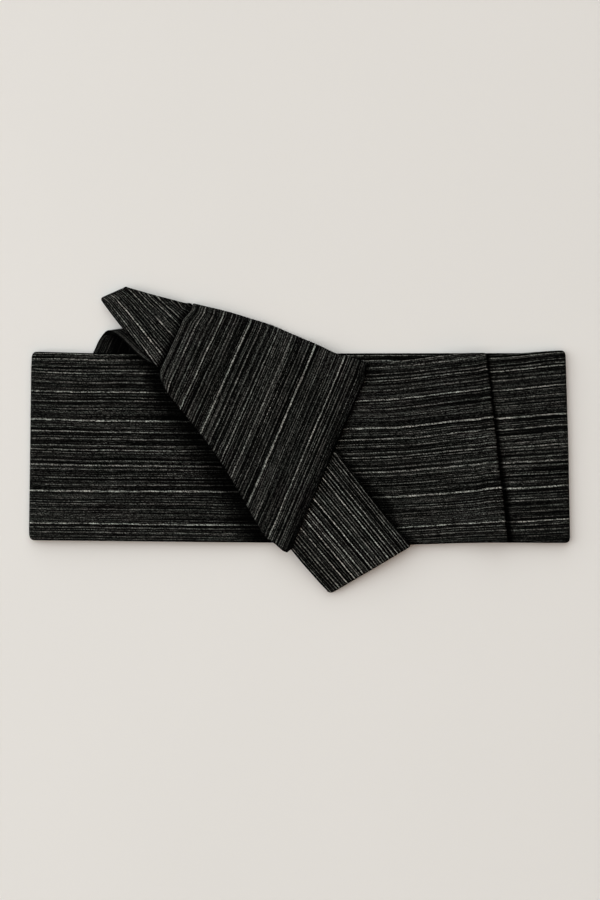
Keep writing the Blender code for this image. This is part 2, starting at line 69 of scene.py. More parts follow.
# Doubled hand end: selvedge side x y, folded side x y, height of its middle (0 = lying).
TE_LOOP = [(-176.2, 71.8, -80.6, 72.1, 2.9), (-173.5, 77.7, -77.8, 81.6, 2.8),
           (-171.2, 82.9, -75.0, 90.0, 2.7), (-168.6, 87.4, -71.0, 97.5, 2.7),
           (-165.6, 90.0, -67.0, 102.2, 3.6), (-161.6, 91.0, -65.6, 103.8, 6.1),
           (-158.0, 90.2, -64.8, 103.0, 8.6), (-154.4, 88.6, -63.4, 100.6, 9.8),
           (-150.8, 86.0, -60.0, 96.6, 0.0), (-146.4, 81.8, -54.4, 91.2, 0.0), (-138.3, 73.6, -45.0, 82.0, 0.0),
           (-129.4, 66.8, -36.0, 72.6, 0.0), (-119.6, 62.4, -28.0, 62.8, 0.0),
           (-107.4, 53.6, -20.0, 53.2, 0.0), (-98.8, 41.6, -10.0, 41.2, 0.0),
           (-86.4, 25.0, 4.0, 23.6, 0.0)]
TE_TAIL = [(-54.0, -18.6, 30.0, -8.6, 0.0), (-42.0, -39.0, 44.6, -27.4, 0.0),
           (-30.8, -60.0, 59.5, -46.5, 0.0), (-19.0, -75.0, 68.0, -57.2, 0.0),
           (-10.8, -88.0, 75.9, -67.2, 0.0), (-3.5, -97.5, 81.6, -74.2, 0.0),
           (3.4, -105.8, 86.0, -79.4, 0.0), (10.6, -114.0, 89.4, -83.4, 0.0),
           (17.8, -122.2, 92.2, -86.8, 0.0), (25.8, -130.5, 94.6, -89.7, 0.0)]
TAIL_DROP = 5.4
TIP = [(-169.5, 119.9, -147.6, 129.4), (-160.4, 107.6, -136.8, 126.4), (-150.8, 95.4, -124.0, 122.8),
       (-138.6, 81.4, -110.0, 119.2), (-127.4, 68.0, -97.6, 116.2),
       (-122.8, 63.8, -92.0, 115.7), (-118.4, 60.6, -91.2, 110.4)]
TIP_DROOP, TIP_CORNER, TIP_UNDER = 3.0, 2.0, 6.0


# ------------------------------------------------------------------ helpers
def smooth(t):
    t = np.clip(t, 0.0, 1.0)
    return t * t * (3.0 - 2.0 * t)


def lerp(a, b, t):
    return a + (b - a) * t


def curved(points, count=90):
    """Points of a smooth curve through a table's rows, evenly spread along it."""
    p = np.array(points, float)
    ghost = np.vstack([2 * p[0] - p[1], p, 2 * p[-1] - p[-2]])
    out = []
    for i in range(len(p) - 1):
        a, b, c, d = ghost[i:i + 4]
        for t in np.linspace(0, 1, 24, endpoint=False):
            out.append(0.5 * (2 * b + (c - a) * t + (2 * a - 5 * b + 4 * c - d) * t ** 2
                              + (3 * b - a - 3 * c + d) * t ** 3))
    out.append(p[-1])
    out = np.array(out)
    far = np.concatenate([[0], np.cumsum(np.linalg.norm(np.diff(out[:, :2], axis=0), axis=1))])
    at = np.linspace(0, far[-1], count)
    return np.stack([np.interp(at, far, out[:, k]) for k in range(out.shape[1])], 1)


def y_of(rail, x):
    r = np.array(rail)
    return np.interp(x, r[:, 0], r[:, 1])


def x_of(rail, y):
    r = np.array(sorted(rail, key=lambda p: p[1]))
    return np.interp(y, r[:, 1], r[:, 0])


def inset(rail, amount, side):
    d = np.gradient(rail, axis=0)
    d /= np.linalg.norm(d, axis=1)[:, None]
    return rail + side * amount * np.stack([-d[:, 1], d[:, 0]], 1)


def share_of(rail, across, v):
    far = rail @ np.array(across)
    far = (far - far[0]) / (far[-1] - far[0])
    far = np.maximum.accumulate(far)
    return np.interp(v, far, rail[:, 0]), np.interp(v, far, rail[:, 1])


def corner(distance):
    d = np.clip(distance, 0.0, CORNER)
    return CORNER - np.sqrt(CORNER ** 2 - (CORNER - d) ** 2)


def rail_distance(rail, x, y):
    best = np.full(np.shape(x), 1e9)
    sign = np.ones(np.shape(x))
    for a, b in zip(rail, rail[1:]):
        dx, dy = b[0] - a[0], b[1] - a[1]
        t = np.clip(((x - a[0]) * dx + (y - a[1]) * dy) / (dx * dx + dy * dy), 0, 1)
        far = np.hypot(x - a[0] - dx * t, y - a[1] - dy * t)
        near = far < best
        best = np.where(near, far, best)
        sign = np.where(near, np.where(dx * (y - a[1]) - dy * (x - a[0]) > 0, 1.0, -1.0), sign)
    return best * sign


def spread(length, step, first=True, last=True):
    """Distances along a side: close together at a cut edge or selvedge, then even."""
    lo = [d for d in FINE] if first else [0.0]
    hi = [length - d for d in reversed(FINE)] if last else [length]
    a, b = lo[-1], hi[0]
    n = max(2, int(round((b - a) / step)))
    return np.array(lo[:-1] + list(np.linspace(a, b, n + 1)) + hi[1:])


def waves(x, y, seed, size=60.0):
    """Soft unevenness of laid cloth, 0 to 1."""
    rng = np.random.RandomState(seed)
    total = np.zeros(np.shape(x))
    for _ in range(7):
        a, f, ph = rng.uniform(0, math.pi), rng.uniform(0.5, 1.8) * 2 * math.pi / size, rng.uniform(0, 6.28)
        total = total + np.sin((x * math.cos(a) + y * math.sin(a)) * f + ph)
    return np.clip(0.5 + total / 9.0, 0, 1)


Crease = namedtuple("Crease", "x0 y0 x1 y1 width rise")


def creases(rows, x, y):
    """Soft ridges and troughs along short lines that fade out at both ends."""
    total = np.zeros(np.shape(x))
    for c in rows:
        dx, dy = c.x1 - c.x0, c.y1 - c.y0
        size2 = dx * dx + dy * dy
        t = ((x - c.x0) * dx + (y - c.y0) * dy) / size2
        off = ((x - c.x0) * dy - (y - c.y0) * dx) / math.sqrt(size2)
        total = total + c.rise * np.exp(-(off / c.width) ** 2) * smooth(t / 0.25 + 0.5) * smooth((1 - t) / 0.25 + 0.5)
    return total


# ------------------------------------------------------------------ heights
DIAG = curved(DIAGONAL, 60)


def into_knot(x, y):
    return rail_distance(DIAGONAL[:7] + [(-7.4, -122.6)], x, y)


def swell(x, y):
    """Soft unevenness of the front layers: slack between the turns, pulls towards the knot."""
    fade = smooth((np.abs(into_knot(x, y)) - 3.0) / 18.0)
    return (0.5 * waves(x, y, 5, 95.0) + creases(PULLS, x, y)) * fade


PULLS = [Crease(-205, 40, -150, 62, 9, 0.22), Crease(-212, -20, -160, -4, 12, -0.16),
         Crease(-190, -62, -110, -44, 10, 0.20), Crease(-140, 28, -112, 6, 8, -0.20),
         Crease(-100, -30, -64, -66, 7, 0.22), Crease(-224, -40, -214, 30, 4, -0.12),
         Crease(62, 50, 128, 62, 7, 0.20), Crease(58, 18, 140, 30, 9, -0.18),
         Crease(60, -8, 118, -14, 6, 0.24), Crease(84, -52, 150, -44, 8, -0.20),
         Crease(78, -70, 116, -80, 5, 0.18), Crease(186, -60, 216, -20, 9, 0.16),
         Crease(178, 36, 214, 50, 8, -0.14), Crease(212, -30, 217, 40, 4, 0.14)]
# The back's creases are drawn up off the surface it lies on.
BACK_PULLS = [Crease(-198, 30, -132, 52, 9, 0.14), Crease(-180, -58, -96, -36, 11, 0.12),
              Crease(-70, 44, 6, 30, 8, 0.13), Crease(-48, -20, 34, -44, 12, 0.14),
              Crease(60, 56, 128, 38, 7, 0.12), Crease(92, -10, 176, 8, 10, 0.14),
              Crease(120, -66, 204, -50, 8, 0.13)]


def outer_height(x, y):
    return lerp(Z_OVER, Z_FRONT, smooth((into_knot(x, y) - TUCK - 5.0) / 20.0))


def lying(x, y):
    low = outer_height(x, np.minimum(y, 60.0)) + swell(x, y)
    return np.where(y < 60.0, low, lerp(low, 6.4, smooth((y - 60.0) / 30.0)))


TE_L = [(r[0], r[1]) for r in TE_LOOP[7:] + TE_TAIL]
TE_R = [(r[2], r[3]) for r in TE_LOOP[7:] + TE_TAIL]


def te_height(x, y):
    return lying(x, y) + CLOTH / 2 + GAP + TE_HALF + 0.4


def te_cover(x, y):
    left, right = rail_distance(TE_L, x, y), -rail_distance(TE_R, x, y)
    return smooth((left + 13.0) / 8.0) * smooth((right + 30.0) / 28.0)


def tip_cover(x, y):
    return smooth((-62.0 - x) / 18.0) * smooth((y - 36.0) / 14.0)


def panel_height(x, y):
    return (lying(x, y) + STEP + 0.4 + (2 * TE_HALF + GAP + 0.55) * te_cover(x, y)
            + (STEP + 0.15) * tip_cover(x, y))


def fold_radius(v):
    v = np.asarray(v)
    return FOLD_R + FOLD_OPEN * (1.0 - smooth(v / 0.16)) + FOLD_FOOT * smooth((v - 0.86) / 0.14)


# ------------------------------------------------------------------ cloth mesh
def cloth(name, points, u, v, thick=CLOTH, ridge=(1, 1, 0, 0), hem=(0, 0), edge=EDGE, shade=None, upright=False,
          painted_rim_shade=(1, 1, 0, 0)):
    """A closed sheet round a grid of middle points (rows along the strip, columns across).
    ridge: firmer selvedge on the first and last column; hem: turned end on first and last row.
    upright: thickness only grows within the x-z plane, as in a tube along y."""
    p = np.asarray(points, float)
    m, n = p.shape[:2]
    du, dv = np.gradient(p, axis=0), np.gradient(p, axis=1)
    nor = np.cross(du, dv)
    if upright:
        nor[..., 1] = 0.0
        du[..., 1] = 0.0
        side = np.stack([-du[..., 2], 0 * du[..., 1], du[..., 0]], 2)
        nor = side * np.sign((nor * side).sum(2).mean())
    nor /= np.maximum(np.linalg.norm(nor, axis=2), 1e-9)[..., None]
    step_u = np.linalg.norm(np.diff(p, axis=0), axis=2)
    step_v = np.linalg.norm(np.diff(p, axis=1), axis=2)
    au = np.concatenate([np.zeros((1, n)), np.cumsum(step_u, 0)], 0)
    av = np.concatenate([np.zeros((m, 1)), np.cumsum(step_v, 1)], 1)
    ends = [av, av[:, -1:] - av, au, au[-1:, :] - au]          # distance from each side
    half = np.full((m, n), thick / 2)
    for d, on in zip(ends, ridge):
        if on:
            half = half + 0.07 * on * np.exp(-((d - 1.1) / 0.55) ** 2)
    for d, wide in zip((ends[2], ends[3]), hem):
        if wide:
            half = half + 0.16 * (1 - smooth((d - wide) / 0.8))
    for d in ends:
        share = 1 - np.clip(d / edge, 0, 1)
        half = half * np.sqrt(np.clip(1 - share ** 2, 0, 1))
    top = p + nor * half[..., None]
    low = p - nor * half[..., None]
    index = np.arange(m * n).reshape(m, n)
    rim = np.zeros((m, n), bool)
    rim[0], rim[-1], rim[:, 0], rim[:, -1] = True, True, True, True
    under = np.where(rim, index, -1)
    inner = np.where(~rim)
    under[inner] = m * n + np.arange(len(inner[0]))
    verts = np.concatenate([np.where(rim[..., None], p, top).reshape(-1, 3), low[inner]]) * MM

    def quads(ix):
        return np.stack([ix[:-1, :-1], ix[1:, :-1], ix[1:, 1:], ix[:-1, 1:]], -1).reshape(-1, 4)

    faces = np.concatenate([quads(index), quads(under)[:, ::-1]])
    mesh = bpy.data.meshes.new(name)
    mesh.from_pydata(verts.tolist(), [], faces.tolist())
    uu = np.concatenate([np.asarray(u, float).reshape(-1), np.asarray(u, float)[inner]])
    vv = np.concatenate([np.asarray(v, float).reshape(-1), np.asarray(v, float)[inner]])
    layer = mesh.uv_layers.new(name="strip")
    loop_vertex = np.zeros(len(mesh.loops), int)
    mesh.loops.foreach_get("vertex_index", loop_vertex)
    layer.data.foreach_set("uv", np.stack([uu[loop_vertex], vv[loop_vertex]], 1).astype(np.float32).ravel() / 1000.0)
    # shade: a factor on the colour for painted shade, and above 1 for painted light, carried in the 'shade' UV layer.
    dim = np.ones((m, n)) if shade is None else np.clip(shade, 0, 1.3)
    for d, dark in zip(ends, painted_rim_shade):
        if dark:
            # Painted shade over the outer millimetre of each side; a thin line at the very edge is darkened less, a
            # painted highlight where the edge faces sideways.
            dim = dim * lerp(1.0 - 0.95 * dark, 1.0, np.maximum(smooth((d - 0.45) / 0.9),
                                                                0.75 * (1 - smooth((d - 0.05) / 0.12))))
    dim = np.concatenate([dim.reshape(-1), dim[inner]])
    second = mesh.uv_layers.new(name="shade")
    second.data.foreach_set("uv", np.stack([dim[loop_vertex], dim[loop_vertex]], 1).astype(np.float32).ravel())
    mesh.shade_smooth()
    thing = bpy.data.objects.new(name, mesh)
    bpy.context.scene.collection.objects.link(thing)
    return thing


def along(points, axis=0):
    """Mean arc length down the rows of a grid."""
    step = np.linalg.norm(np.diff(points, axis=axis), axis=2)
    return np.concatenate([np.zeros((1, points.shape[1])), np.cumsum(step, 0)], 0)


# ------------------------------------------------------------------ painted shade in creases
# Painted shade: where one layer meets the next, the cloth's colour is darkened to stand in
# for the shadow there. 1 is open cloth; above 1 is painted light.
PANEL_RIGHT = [(-8.3, -96.6), (58.3, 64.8)]


def beside(distance, reach, least):
    """Ease from least at the fold up to 1 this far from it."""
    return lerp(least, 1.0, smooth(distance / reach))


def shade_band(x, y, z):
    # Painted shade beside the knot's slanting fold, near the hand end's loop and just right of the pleat; farther right
    # of the pleat the colour is painted up to 14% lighter, a painted highlight.
    left = beside(-into_knot(x, y) - 5.0, lerp(27.5, 16.0, smooth((y - 5.0) / 50.0)), 0.07)
    loop = beside(rail_distance(TE_L[::-1], x, y), 17.0, 0.10)
    low = smooth((60.0 - y) / 130.0)
    off = -rail_distance(PLEAT_EDGE[::-1], x, y)
    pleat = beside(off - lerp(1.0, 3.0, low), lerp(3.0, 3.6, low), 0.05) * lerp(1.0, 1.14, smooth((34.0 - off) / 20.0))
    shade = np.where(x < 0, np.minimum(left, np.where((y > 48) & (x > -150), loop, 1.0)), pleat)
    return np.where(z > Z_FRONT - 2.0, shade, 1.0)


def shade_last(x, y):
    # Painted shade on the last stretch beside the panel's right-hand selvedge and the hand end's right edge.
    reach = lerp(3.2, 7.5, smooth((52.0 - y) / 20.0) * smooth((y + 2.0) / 18.0))
    panel = beside(-rail_distance(PANEL_RIGHT, x, y), reach, 0.20)
    deep = 7.0 * smooth((-24.0 - y) / 24.0) * smooth((y + 68.0) / 14.0)
    tail = beside(rail_distance(TE_R, x, y) - deep, lerp(9.0, 6.5, deep / 7.0), 0.16)
    return np.minimum(panel, np.where((y < -8) & (y > -100), tail, 1.0))


# ------------------------------------------------------------------ the band
hidden_left = inset(np.array(DIAGONAL[:7] + [(-7.4, -122.6)]), TUCK, 1)


def left_inner_x(v):
    y = lerp(72.8, -86.9, v)
    return np.where(y > hidden_left[0][1], hidden_left[0][0] - (y - hidden_left[0][1]) * 0.75,
                    x_of([tuple(p) for p in hidden_left], y))


def right_inner_x(v):
    return x_of(PLEAT_EDGE, lerp(72.0, -86.6, v)) - PLEAT - 1.0


def behind_loop(x):
    """1 where the hand end's loop comes up against the hidden layers' upper selvedges."""
    return smooth((x + 193.0) / 11.0) * smooth((-69.0 - x) / 11.0)


def outer_turn():
    v = spread(WIDTH, 2.6) / WIDTH
    near = np.minimum(v, 1 - v) * 160.0
    radius = (Z_FRONT - Z_BACK) / 2
    tip_l = x_of(LEFT_END, lerp(74.6, -85.2, v)) + corner(near)
    tip_r = x_of(RIGHT_END, lerp(76.4, -87.3, v)) - corner(near)
    turn_l, turn_r = tip_l + radius + CLOTH / 2, tip_r - radius - CLOTH / 2
    xs, zs, side = [], [], []
    start = left_inner_x(v)
    for t in spread(1.0, 0.0125, False, False):
        xs.append(lerp(start, turn_l, t)); zs.append(np.full_like(v, Z_FRONT)); side.append(-1)
    for k in range(1, 14):
        a = math.pi * k / 14
        xs.append(turn_l - radius * math.sin(a)); zs.append(np.full_like(v, Z_BACK + radius + radius * math.cos(a))); side.append(-1)
    for t in np.linspace(0, 1, 90):
        xs.append(lerp(turn_l, turn_r, t)); zs.append(np.full_like(v, Z_BACK + 0.09)); side.append(0)
    for k in range(13, 0, -1):
        a = math.pi * k / 14
        xs.append(turn_r + radius * math.sin(a)); zs.append(np.full_like(v, Z_BACK + radius + radius * math.cos(a))); side.append(1)
    end = right_inner_x(v)
    for t in np.linspace(0, 1, 84):
        xs.append(lerp(turn_r, end, t)); zs.append(np.full_like(v, Z_FRONT)); side.append(1)
    x, z = np.array(xs), np.array(zs)
    side = np.array(side)
    up_l, lo_l = y_of(UPPER_LEFT, x), y_of(LOWER_LEFT, x)
    up_r, lo_r = y_of(UPPER_RIGHT, x), y_of(LOWER_RIGHT, x)
    share = smooth((x + 215.0) / 430.0)
    pull = smooth((np.minimum(x + 229, 229 - x) - 10.0) / 25.0)
    up_b = lerp(y_of(UPPER_LEFT, np.minimum(x, -205.0)), y_of(UPPER_RIGHT, np.maximum(x, 205.0)), share) - 1.1 * pull
    lo_b = lerp(y_of(LOWER_LEFT, np.minimum(x, -205.0)), y_of(LOWER_RIGHT, np.maximum(x, 205.0)), share) + 0.8 * pull
    up_b = up_b - 3.0 * behind_loop(x)
    s = side[:, None]
    up = np.where(s < 0, up_l, np.where(s > 0, up_r, up_b))
    lo = np.where(s < 0, lo_l, np.where(s > 0, lo_r, lo_b))
    y = lerp(up, lo, v[None, :])
    lift = smooth((z - Z_BACK) / (Z_FRONT - Z_BACK))
    z = z + swell(x, y) * lift * smooth(np.minimum(x + 226.0, 226.0 - x) / 30.0)
    z = z + creases(BACK_PULLS, x, y) * (s == 0)
    p = np.stack([x, y, z], 2)
    # The turn on the right is drawn up a little, so its yarns lie higher than on the left.
    drawn = np.where(s < 0, 0.0, np.where(s > 0, lerp(3.0, 5.2, np.clip((x - 172.0) / 56.0, 0, 1)),
                                          5.2 * smooth((x + 150.0) / 370.0)))
    place = v[None, :] * WIDTH + drawn * smooth(v[None, :] * 40.0 + 0.3)
    return cloth("outer_turn", p, along(p), place, shade=shade_band(x, y, z), upright=True)


def inner_turn():
    """The hidden turn inside: its upper selvedge shows over the outer turn."""
    v = spread(WIDTH, 6.0) / WIDTH
    low, high = CLOTH + GAP + CLOTH / 2, 3 * CLOTH + 2 * GAP - CLOTH / 2
    radius = (high - low) / 2
    left, right = -224.2 + radius + CLOTH / 2, 222.2 - radius - CLOTH / 2
    xs, zs = [], []
    for t in np.linspace(0, 1, 40):
        xs.append(lerp(30.0, left, t)); zs.append(high)
    for k in range(1, 8):
        a = math.pi * k / 8
        xs.append(left - radius * math.sin(a)); zs.append(low + radius + radius * math.cos(a))
    for t in np.linspace(0, 1, 60):
        xs.append(lerp(left, right, t)); zs.append(low)
    for k in range(7, 0, -1):
        a = math.pi * k / 8
        xs.append(right + radius * math.sin(a)); zs.append(low + radius + radius * math.cos(a))
    for t in np.linspace(0, 1, 60):
        xs.append(lerp(right, 31.0, t)); zs.append(high)
    x = np.array(xs)[:, None] + 0 * v[None, :]
    z = np.array(zs)[:, None] + 0 * v[None, :]
    up = np.full_like(x, 72.55) - 1.5 * (1 - smooth(np.minimum(x + 226, 226 - x) / 6.0))
    up = up - 2.2 * behind_loop(x)
    lo = lerp(-84.2, -86.0, smooth((x + 226) / 452.0)) + 1.5 * (1 - smooth(np.minimum(x + 226, 226 - x) / 6.0))
    y = lerp(up, lo, v[None, :])
    p = np.stack([x, y, z], 2)
    return cloth("inner_turn", p, along(p), np.broadcast_to(v * WIDTH, x.shape), upright=True)


LAST_TOP = [(-112.0, 57.5), (0.0, 60.6), (59.0, 64.4), (93.7, 68.8), (125.0, 72.5), (140.0, 73.2), (160.0, 73.6)]
# How far a yarn of the last stretch lies below its place at the pleat (x, drop).
LAST_FOOT = [(-5.0, -92.5), (40.0, -90.4), (88.0, -89.0), (130.0, -87.7), (177.0, -86.6)]
LAST_EDGE = curved(LAST_TOP, 120)
YARN_DROP = curved([(-60.0, 14.0), (0.0, 13.0), (42.7, 11.5), (68.2, 10.2), (93.7, 7.6), (119.2, 4.6),
                    (140.5, 1.9), (156.6, 0.0), (180.0, -2.4)], 160)


def last_place(x, y):
    """Which yarn of the last stretch runs through a point: they bend up towards the pleat."""
    drop = np.interp(x, YARN_DROP[:, 0], YARN_DROP[:, 1])
    s = (73.4 - y) / 159.9
    for _ in range(6):
        s = (73.4 - y - drop * (1 - 0.55 * np.clip(s, 0, 1) ** 1.5)) / 159.9 + 0.0235 - 0.0115 * s
    sag = 0.85 * smooth((x - 55.0) / 40.0) * smooth((160.0 - x) / 12.0) * smooth((y + 85.0) / 40.0)
    return s * WIDTH - sag


def last_stretch():
    v = spread(WIDTH, 2.4) / WIDTH
    across = (math.sin(math.radians(6.0)), -math.cos(math.radians(6.0)))
    sx, sy = np.zeros_like(v), np.zeros_like(v)
    for i, share in enumerate(v):
        rail = inset(DIAG, float(fold_radius(share)) + CLOTH / 2 + GAP + 0.9, 1)
        sx[i], sy[i] = share_of(rail, across, share)
    pleat = curved(PLEAT_EDGE, 60)
    ex, ey = share_of(pleat, across, v)
    ex = ex - corner(np.minimum(v, 1 - v) * 160) * 0.6
    turn = ex - PLEAT_R - CLOTH / 2
    rows = []
    for t in np.concatenate([np.linspace(0, 0.8, 130, endpoint=False), np.linspace(0.8, 1, 40)]):
        x = lerp(sx, turn, t)
        straight = lerp(sy[0], ey[0], (x - sx[0]) / (ex[0] - sx[0]))
        sag = (np.interp(x, LAST_EDGE[:, 0], LAST_EDGE[:, 1]) - straight) * (1 - v)
        straight = lerp(sy[-1], ey[-1], (x - sx[-1]) / (ex[-1] - sx[-1]))
        sag = sag + (y_of(LAST_FOOT, x) - straight) * v
        y = lerp(sy, ey, t) + sag * smooth(t / 0.2) * smooth((1 - t) / 0.04)
        z = outer_height(x, y) + (STEP + 2 * PLEAT_R) * smooth((t - 0.80) / 0.14) + swell(x, y) * smooth(t / 0.1)
        rows.append(np.stack([x, y, z], 1))
    base = rows[-1][:, 2] - 2 * PLEAT_R - Z_OVER
    for k in range(1, 10):
        a = math.pi * k / 10
        rows.append(np.stack([turn + PLEAT_R * math.sin(a), ey, Z_OVER + PLEAT_R + PLEAT_R * math.cos(a) + base], 1))
    for back in np.linspace(0, PLEAT - 2, 5):
        rows.append(np.stack([turn - back, ey, Z_OVER + base], 1))
    p = np.array(rows)
    dim = shade_last(p[..., 0], p[..., 1])
    # Painted shade on the pleat's roll, darkening to a fifth as it turns under.
    rolled = smooth((p[..., 0] - (turn + PLEAT_R * 0.3)[None, :]) / (PLEAT_R * 0.7))
    return cloth("last_stretch", p, along(p), last_place(p[..., 0], p[..., 1]),
                 shade=dim * lerp(1.0, 0.2, rolled), upright=True)


# ------------------------------------------------------------------ the knot
KNOT_PULLS = [Crease(-84, 96, -96, 64, 5, 0.20), Crease(-58, 92, -80, 40, 7, -0.18),
              Crease(-20, 70, -44, 10, 9, 0.22), Crease(8, 52, -16, -8, 6, -0.20),
              Crease(-62, 10, -38, -22, 6, 0.22), Crease(-34, -28, -14, -66, 5, 0.22),
              Crease(34, 50, 18, 8, 4, 0.18), Crease(-100, 50, -84, 26, 5, -0.16)]


def knot_panel():
    v = spread(WIDTH, 2.0) / WIDTH
    tilt = math.radians(24.2)
    across = (math.cos(tilt), -math.sin(tilt))
    top_rail = curved(TOP_FOLD, 90)
    tx, ty = share_of(inset(top_rail, 6.0, -1), across, v)
    ox, oy = share_of(inset(top_rail, CLOTH / 2, -1), across, v)
    radius = fold_radius(v)
    fx, fy = np.zeros_like(v), np.zeros_like(v)
    for i, share in enumerate(v):
        fx[i], fy[i] = share_of(inset(DIAG, float(radius[i]) + CLOTH / 2, 1), across, share)
    over_top = smooth((oy - 79.0) / 14.0)
    foot = lerp(Z_OVER + 0.25, 1.9, over_top)
    d = np.array([DIAGONAL[-1][1] - DIAGONAL[0][1], -(DIAGONAL[-1][0] - DIAGONAL[0][0])])
    dx, dy = d / np.linalg.norm(d)

    def height(x, y):
        near = smooth(1 - np.hypot(x - tx, y - ty) / 26.0)
        z = panel_height(x, y)
        fold = foot + 2 * TOP_R + 0.1
        z = lerp(z, np.maximum(z, fold), near) - 0.5 * near * over_top
        rise = smooth(np.hypot(x - fx, y - fy) / lerp(9.0, 5.0, smooth((v - 0.75) / 0.2)))
        z = lerp(Z_OVER + 2 * radius, z, rise)
        return z + (0.3 * waves(x, y, 11, 60.0) + creases(KNOT_PULLS, x, y)) * rise

    rows, dims, places = [], [], []
    z_top = height(tx, ty)
    far = v * WIDTH
    # The left-hand selvedge bows out all the way down to the fold.
    bow = 3.0 * smooth((26.0 - far) / 26.0)
    for k in range(12):
        a = math.pi / 2 * k / 12
        rows.append(np.stack([lerp(tx, ox, math.cos(a)), lerp(ty, oy, math.cos(a)), foot + (z_top - foot) * math.sin(a)], 1))
        # Painted shade on the top fold, darker towards where it rolls under.
        dims.append(lerp(0.3, 1.0, smooth(a / 0.8)) + 0 * v)
        places.append(far)
    for t in (1 - np.linspace(0, 1, 110)) ** 1.3:
        # The right-hand selvedge swells out below its corner.
        out = 2.7 * t * smooth((1 - t) / 0.05) * smooth((far - 150.0) / 10.5)
        out = out - bow * smooth((1 - t) / 0.2)
        x, y = lerp(fx, tx, t) + out * across[0], lerp(fy, ty, t) + out * across[1]
        rows.append(np.stack([x, y, height(x, y)], 1))
        # Painted shade along the right-hand selvedge, a darker band standing in for its shaded side.
        dims.append(lerp(1.0, 0.55, smooth((far - 155.6) / 1.4)))
        places.append(far)
    for k in range(1, 17):
        a = math.pi * k / 16
        out = bow * (1 - math.sin(a)) if a < math.pi / 2 else 0.0
        rows.append(np.stack([fx + dx * radius * math.sin(a) - out * across[0],
                              fy + dy * radius * math.sin(a) - out * across[1],
                              Z_OVER + radius + radius * math.cos(a)], 1))
        # Painted shade round the slanting fold, darkest where it turns under, least near the left-hand selvedge.
        dims.append(lerp(1.0, lerp(0.06, 0.75, smooth((11.0 - far) / 8.0)), smooth((a - 0.45) / 1.0)))
        # Round the slanting fold a yarn keeps its angle to it, so it also runs along it.
        places.append(far - 0.497 * radius * a)
    p = np.array(rows)
    return cloth("panel_cloth", p, along(p), np.array(places), shade=np.array(dims))


def rounded(lead, side, radius):
    """How far a cut end draws back this far from its corner."""
    d = np.clip(side, 0, radius)
    return (radius - np.sqrt(radius ** 2 - (radius - d) ** 2)) * np.clip(1 - lead / 9.0, 0, 1)


def doubled(table, name, hem, count, fan=None, cut_corner=False, shade=None):
    """The hand end folded in half lengthwise, its fold on the right-hand side.
    fan: two straight lines that the yarns follow, on the selvedges' side and on the fold's."""
    rail = curved([(r[0], r[1], r[2], r[3], r[4] if r[4] else -1.0) for r in table], count)
    keys = curved([(r[0], r[1], float(i)) for i, r in enumerate(table)], count)[:, 2]
    flag = np.array([1.0 if r[4] == 0 else 0.0 for r in table])
    known = np.array([r[4] for r in table])
    lie = np.interp(keys, range(len(table)), flag)
    zk = np.interp(keys, range(len(table)), np.where(known > 0, known, 9.8))
    half_width = WIDTH / 2
    s = spread(half_width, 1.9, True, False) / half_width
    x = lerp(rail[:, 0:1], rail[:, 2:3], s[None, :])
    y = lerp(rail[:, 1:2], rail[:, 3:4], s[None, :])
    if cut_corner:
        lead = np.hypot(x[-1:, :] - x, y[-1:, :] - y)
        ex, ey = x[-1:] - x[-6:-5], y[-1:] - y[-6:-5]
        size = np.hypot(ex, ey)
        back = rounded(lead, s[None, :] * half_width, 3.2) + rounded(lead, (1 - s[None, :]) * half_width, 1.6)
        x, y = x - ex / size * back, y - ey / size * back
    z = lerp(zk[:, None] + 0 * x, te_height(x, y), smooth(lie)[:, None])
    z = z - TAIL_DROP * smooth((-97.0 - y) / 34.0)
    p = np.stack([x, y, z], 2)
    du, dv = np.gradient(p, axis=0), np.gradient(p, axis=1)
    nor = np.cross(du, dv)
    nor /= np.linalg.norm(nor, axis=2)[..., None]
    side = dv / np.linalg.norm(dv, axis=2)[..., None]
    h = STEP / 2
    upper, lower = p + nor * h, p - nor * h
    centre = p[:, -1] - side[:, -1] * (h + CLOTH / 2)
    arc = [centre + nor[:, -1] * h * math.cos(a) + side[:, -1] * h * math.sin(a)
           for a in np.linspace(0, math.pi, 13)]
    keep = np.where((1 - s) * half_width > h + CLOTH / 2 + 0.3)[0]
    grid = np.concatenate([upper[:, keep], np.stack(arc, 1), lower[:, keep[::-1]]], 1)
    share = np.broadcast_to(s[keep], (x.shape[0], len(keep)))
    if fan:
        (ax, ay, bx, by), (cx, cy, dx, dy) = fan
        sel = [(ax, ay), (bx, by)]
        fol = [(cx, cy), (dx, dy)]

        def off(line, px, py):
            (x0, y0), (x1, y1) = line
            return ((x1 - x0) * (py - y0) - (y1 - y0) * (px - x0)) / math.hypot(x1 - x0, y1 - y0)
        gx, gy = x[:, keep], y[:, keep]
        a, b = off(sel, gx, gy), -off(fol, gx, gy)
        share = a / (a + b)
    turn = np.broadcast_to(np.linspace(half_width - 1.6, half_width + 1.6, 13), (x.shape[0], 13))
    across = np.concatenate([share * half_width, turn, WIDTH - share[:, ::-1] * half_width], 1)
    u = along(p)
    ucol = np.repeat(u.mean(1)[:, None], grid.shape[1], 1)
    dim = None
    if shade is not None:
        dim = shade(grid[..., 0], grid[..., 1], grid[..., 2])
    return cloth(name, grid, ucol, across, hem=hem, shade=dim)


def inside_loop(x, y, z):
    """Painted shade for the loop's inside: only its roll and the cloth in front see light, so the rest is darkened,
    less towards the left.
    """
    deep = lerp(0.05, 0.55, smooth((-157.0 - x) / 9.0))
    return lerp(deep, 1.0, smooth((z - 4.4) / 2.4))


PANEL_LEFT = [(-120.5, 55.0), (-117.1, 66.1), (-113.9, 72.3), (-110.6, 79.6), (-106.3, 87.7),
              (-102.3, 96.9), (-98.0, 106.2), (-90.3, 116.1)]


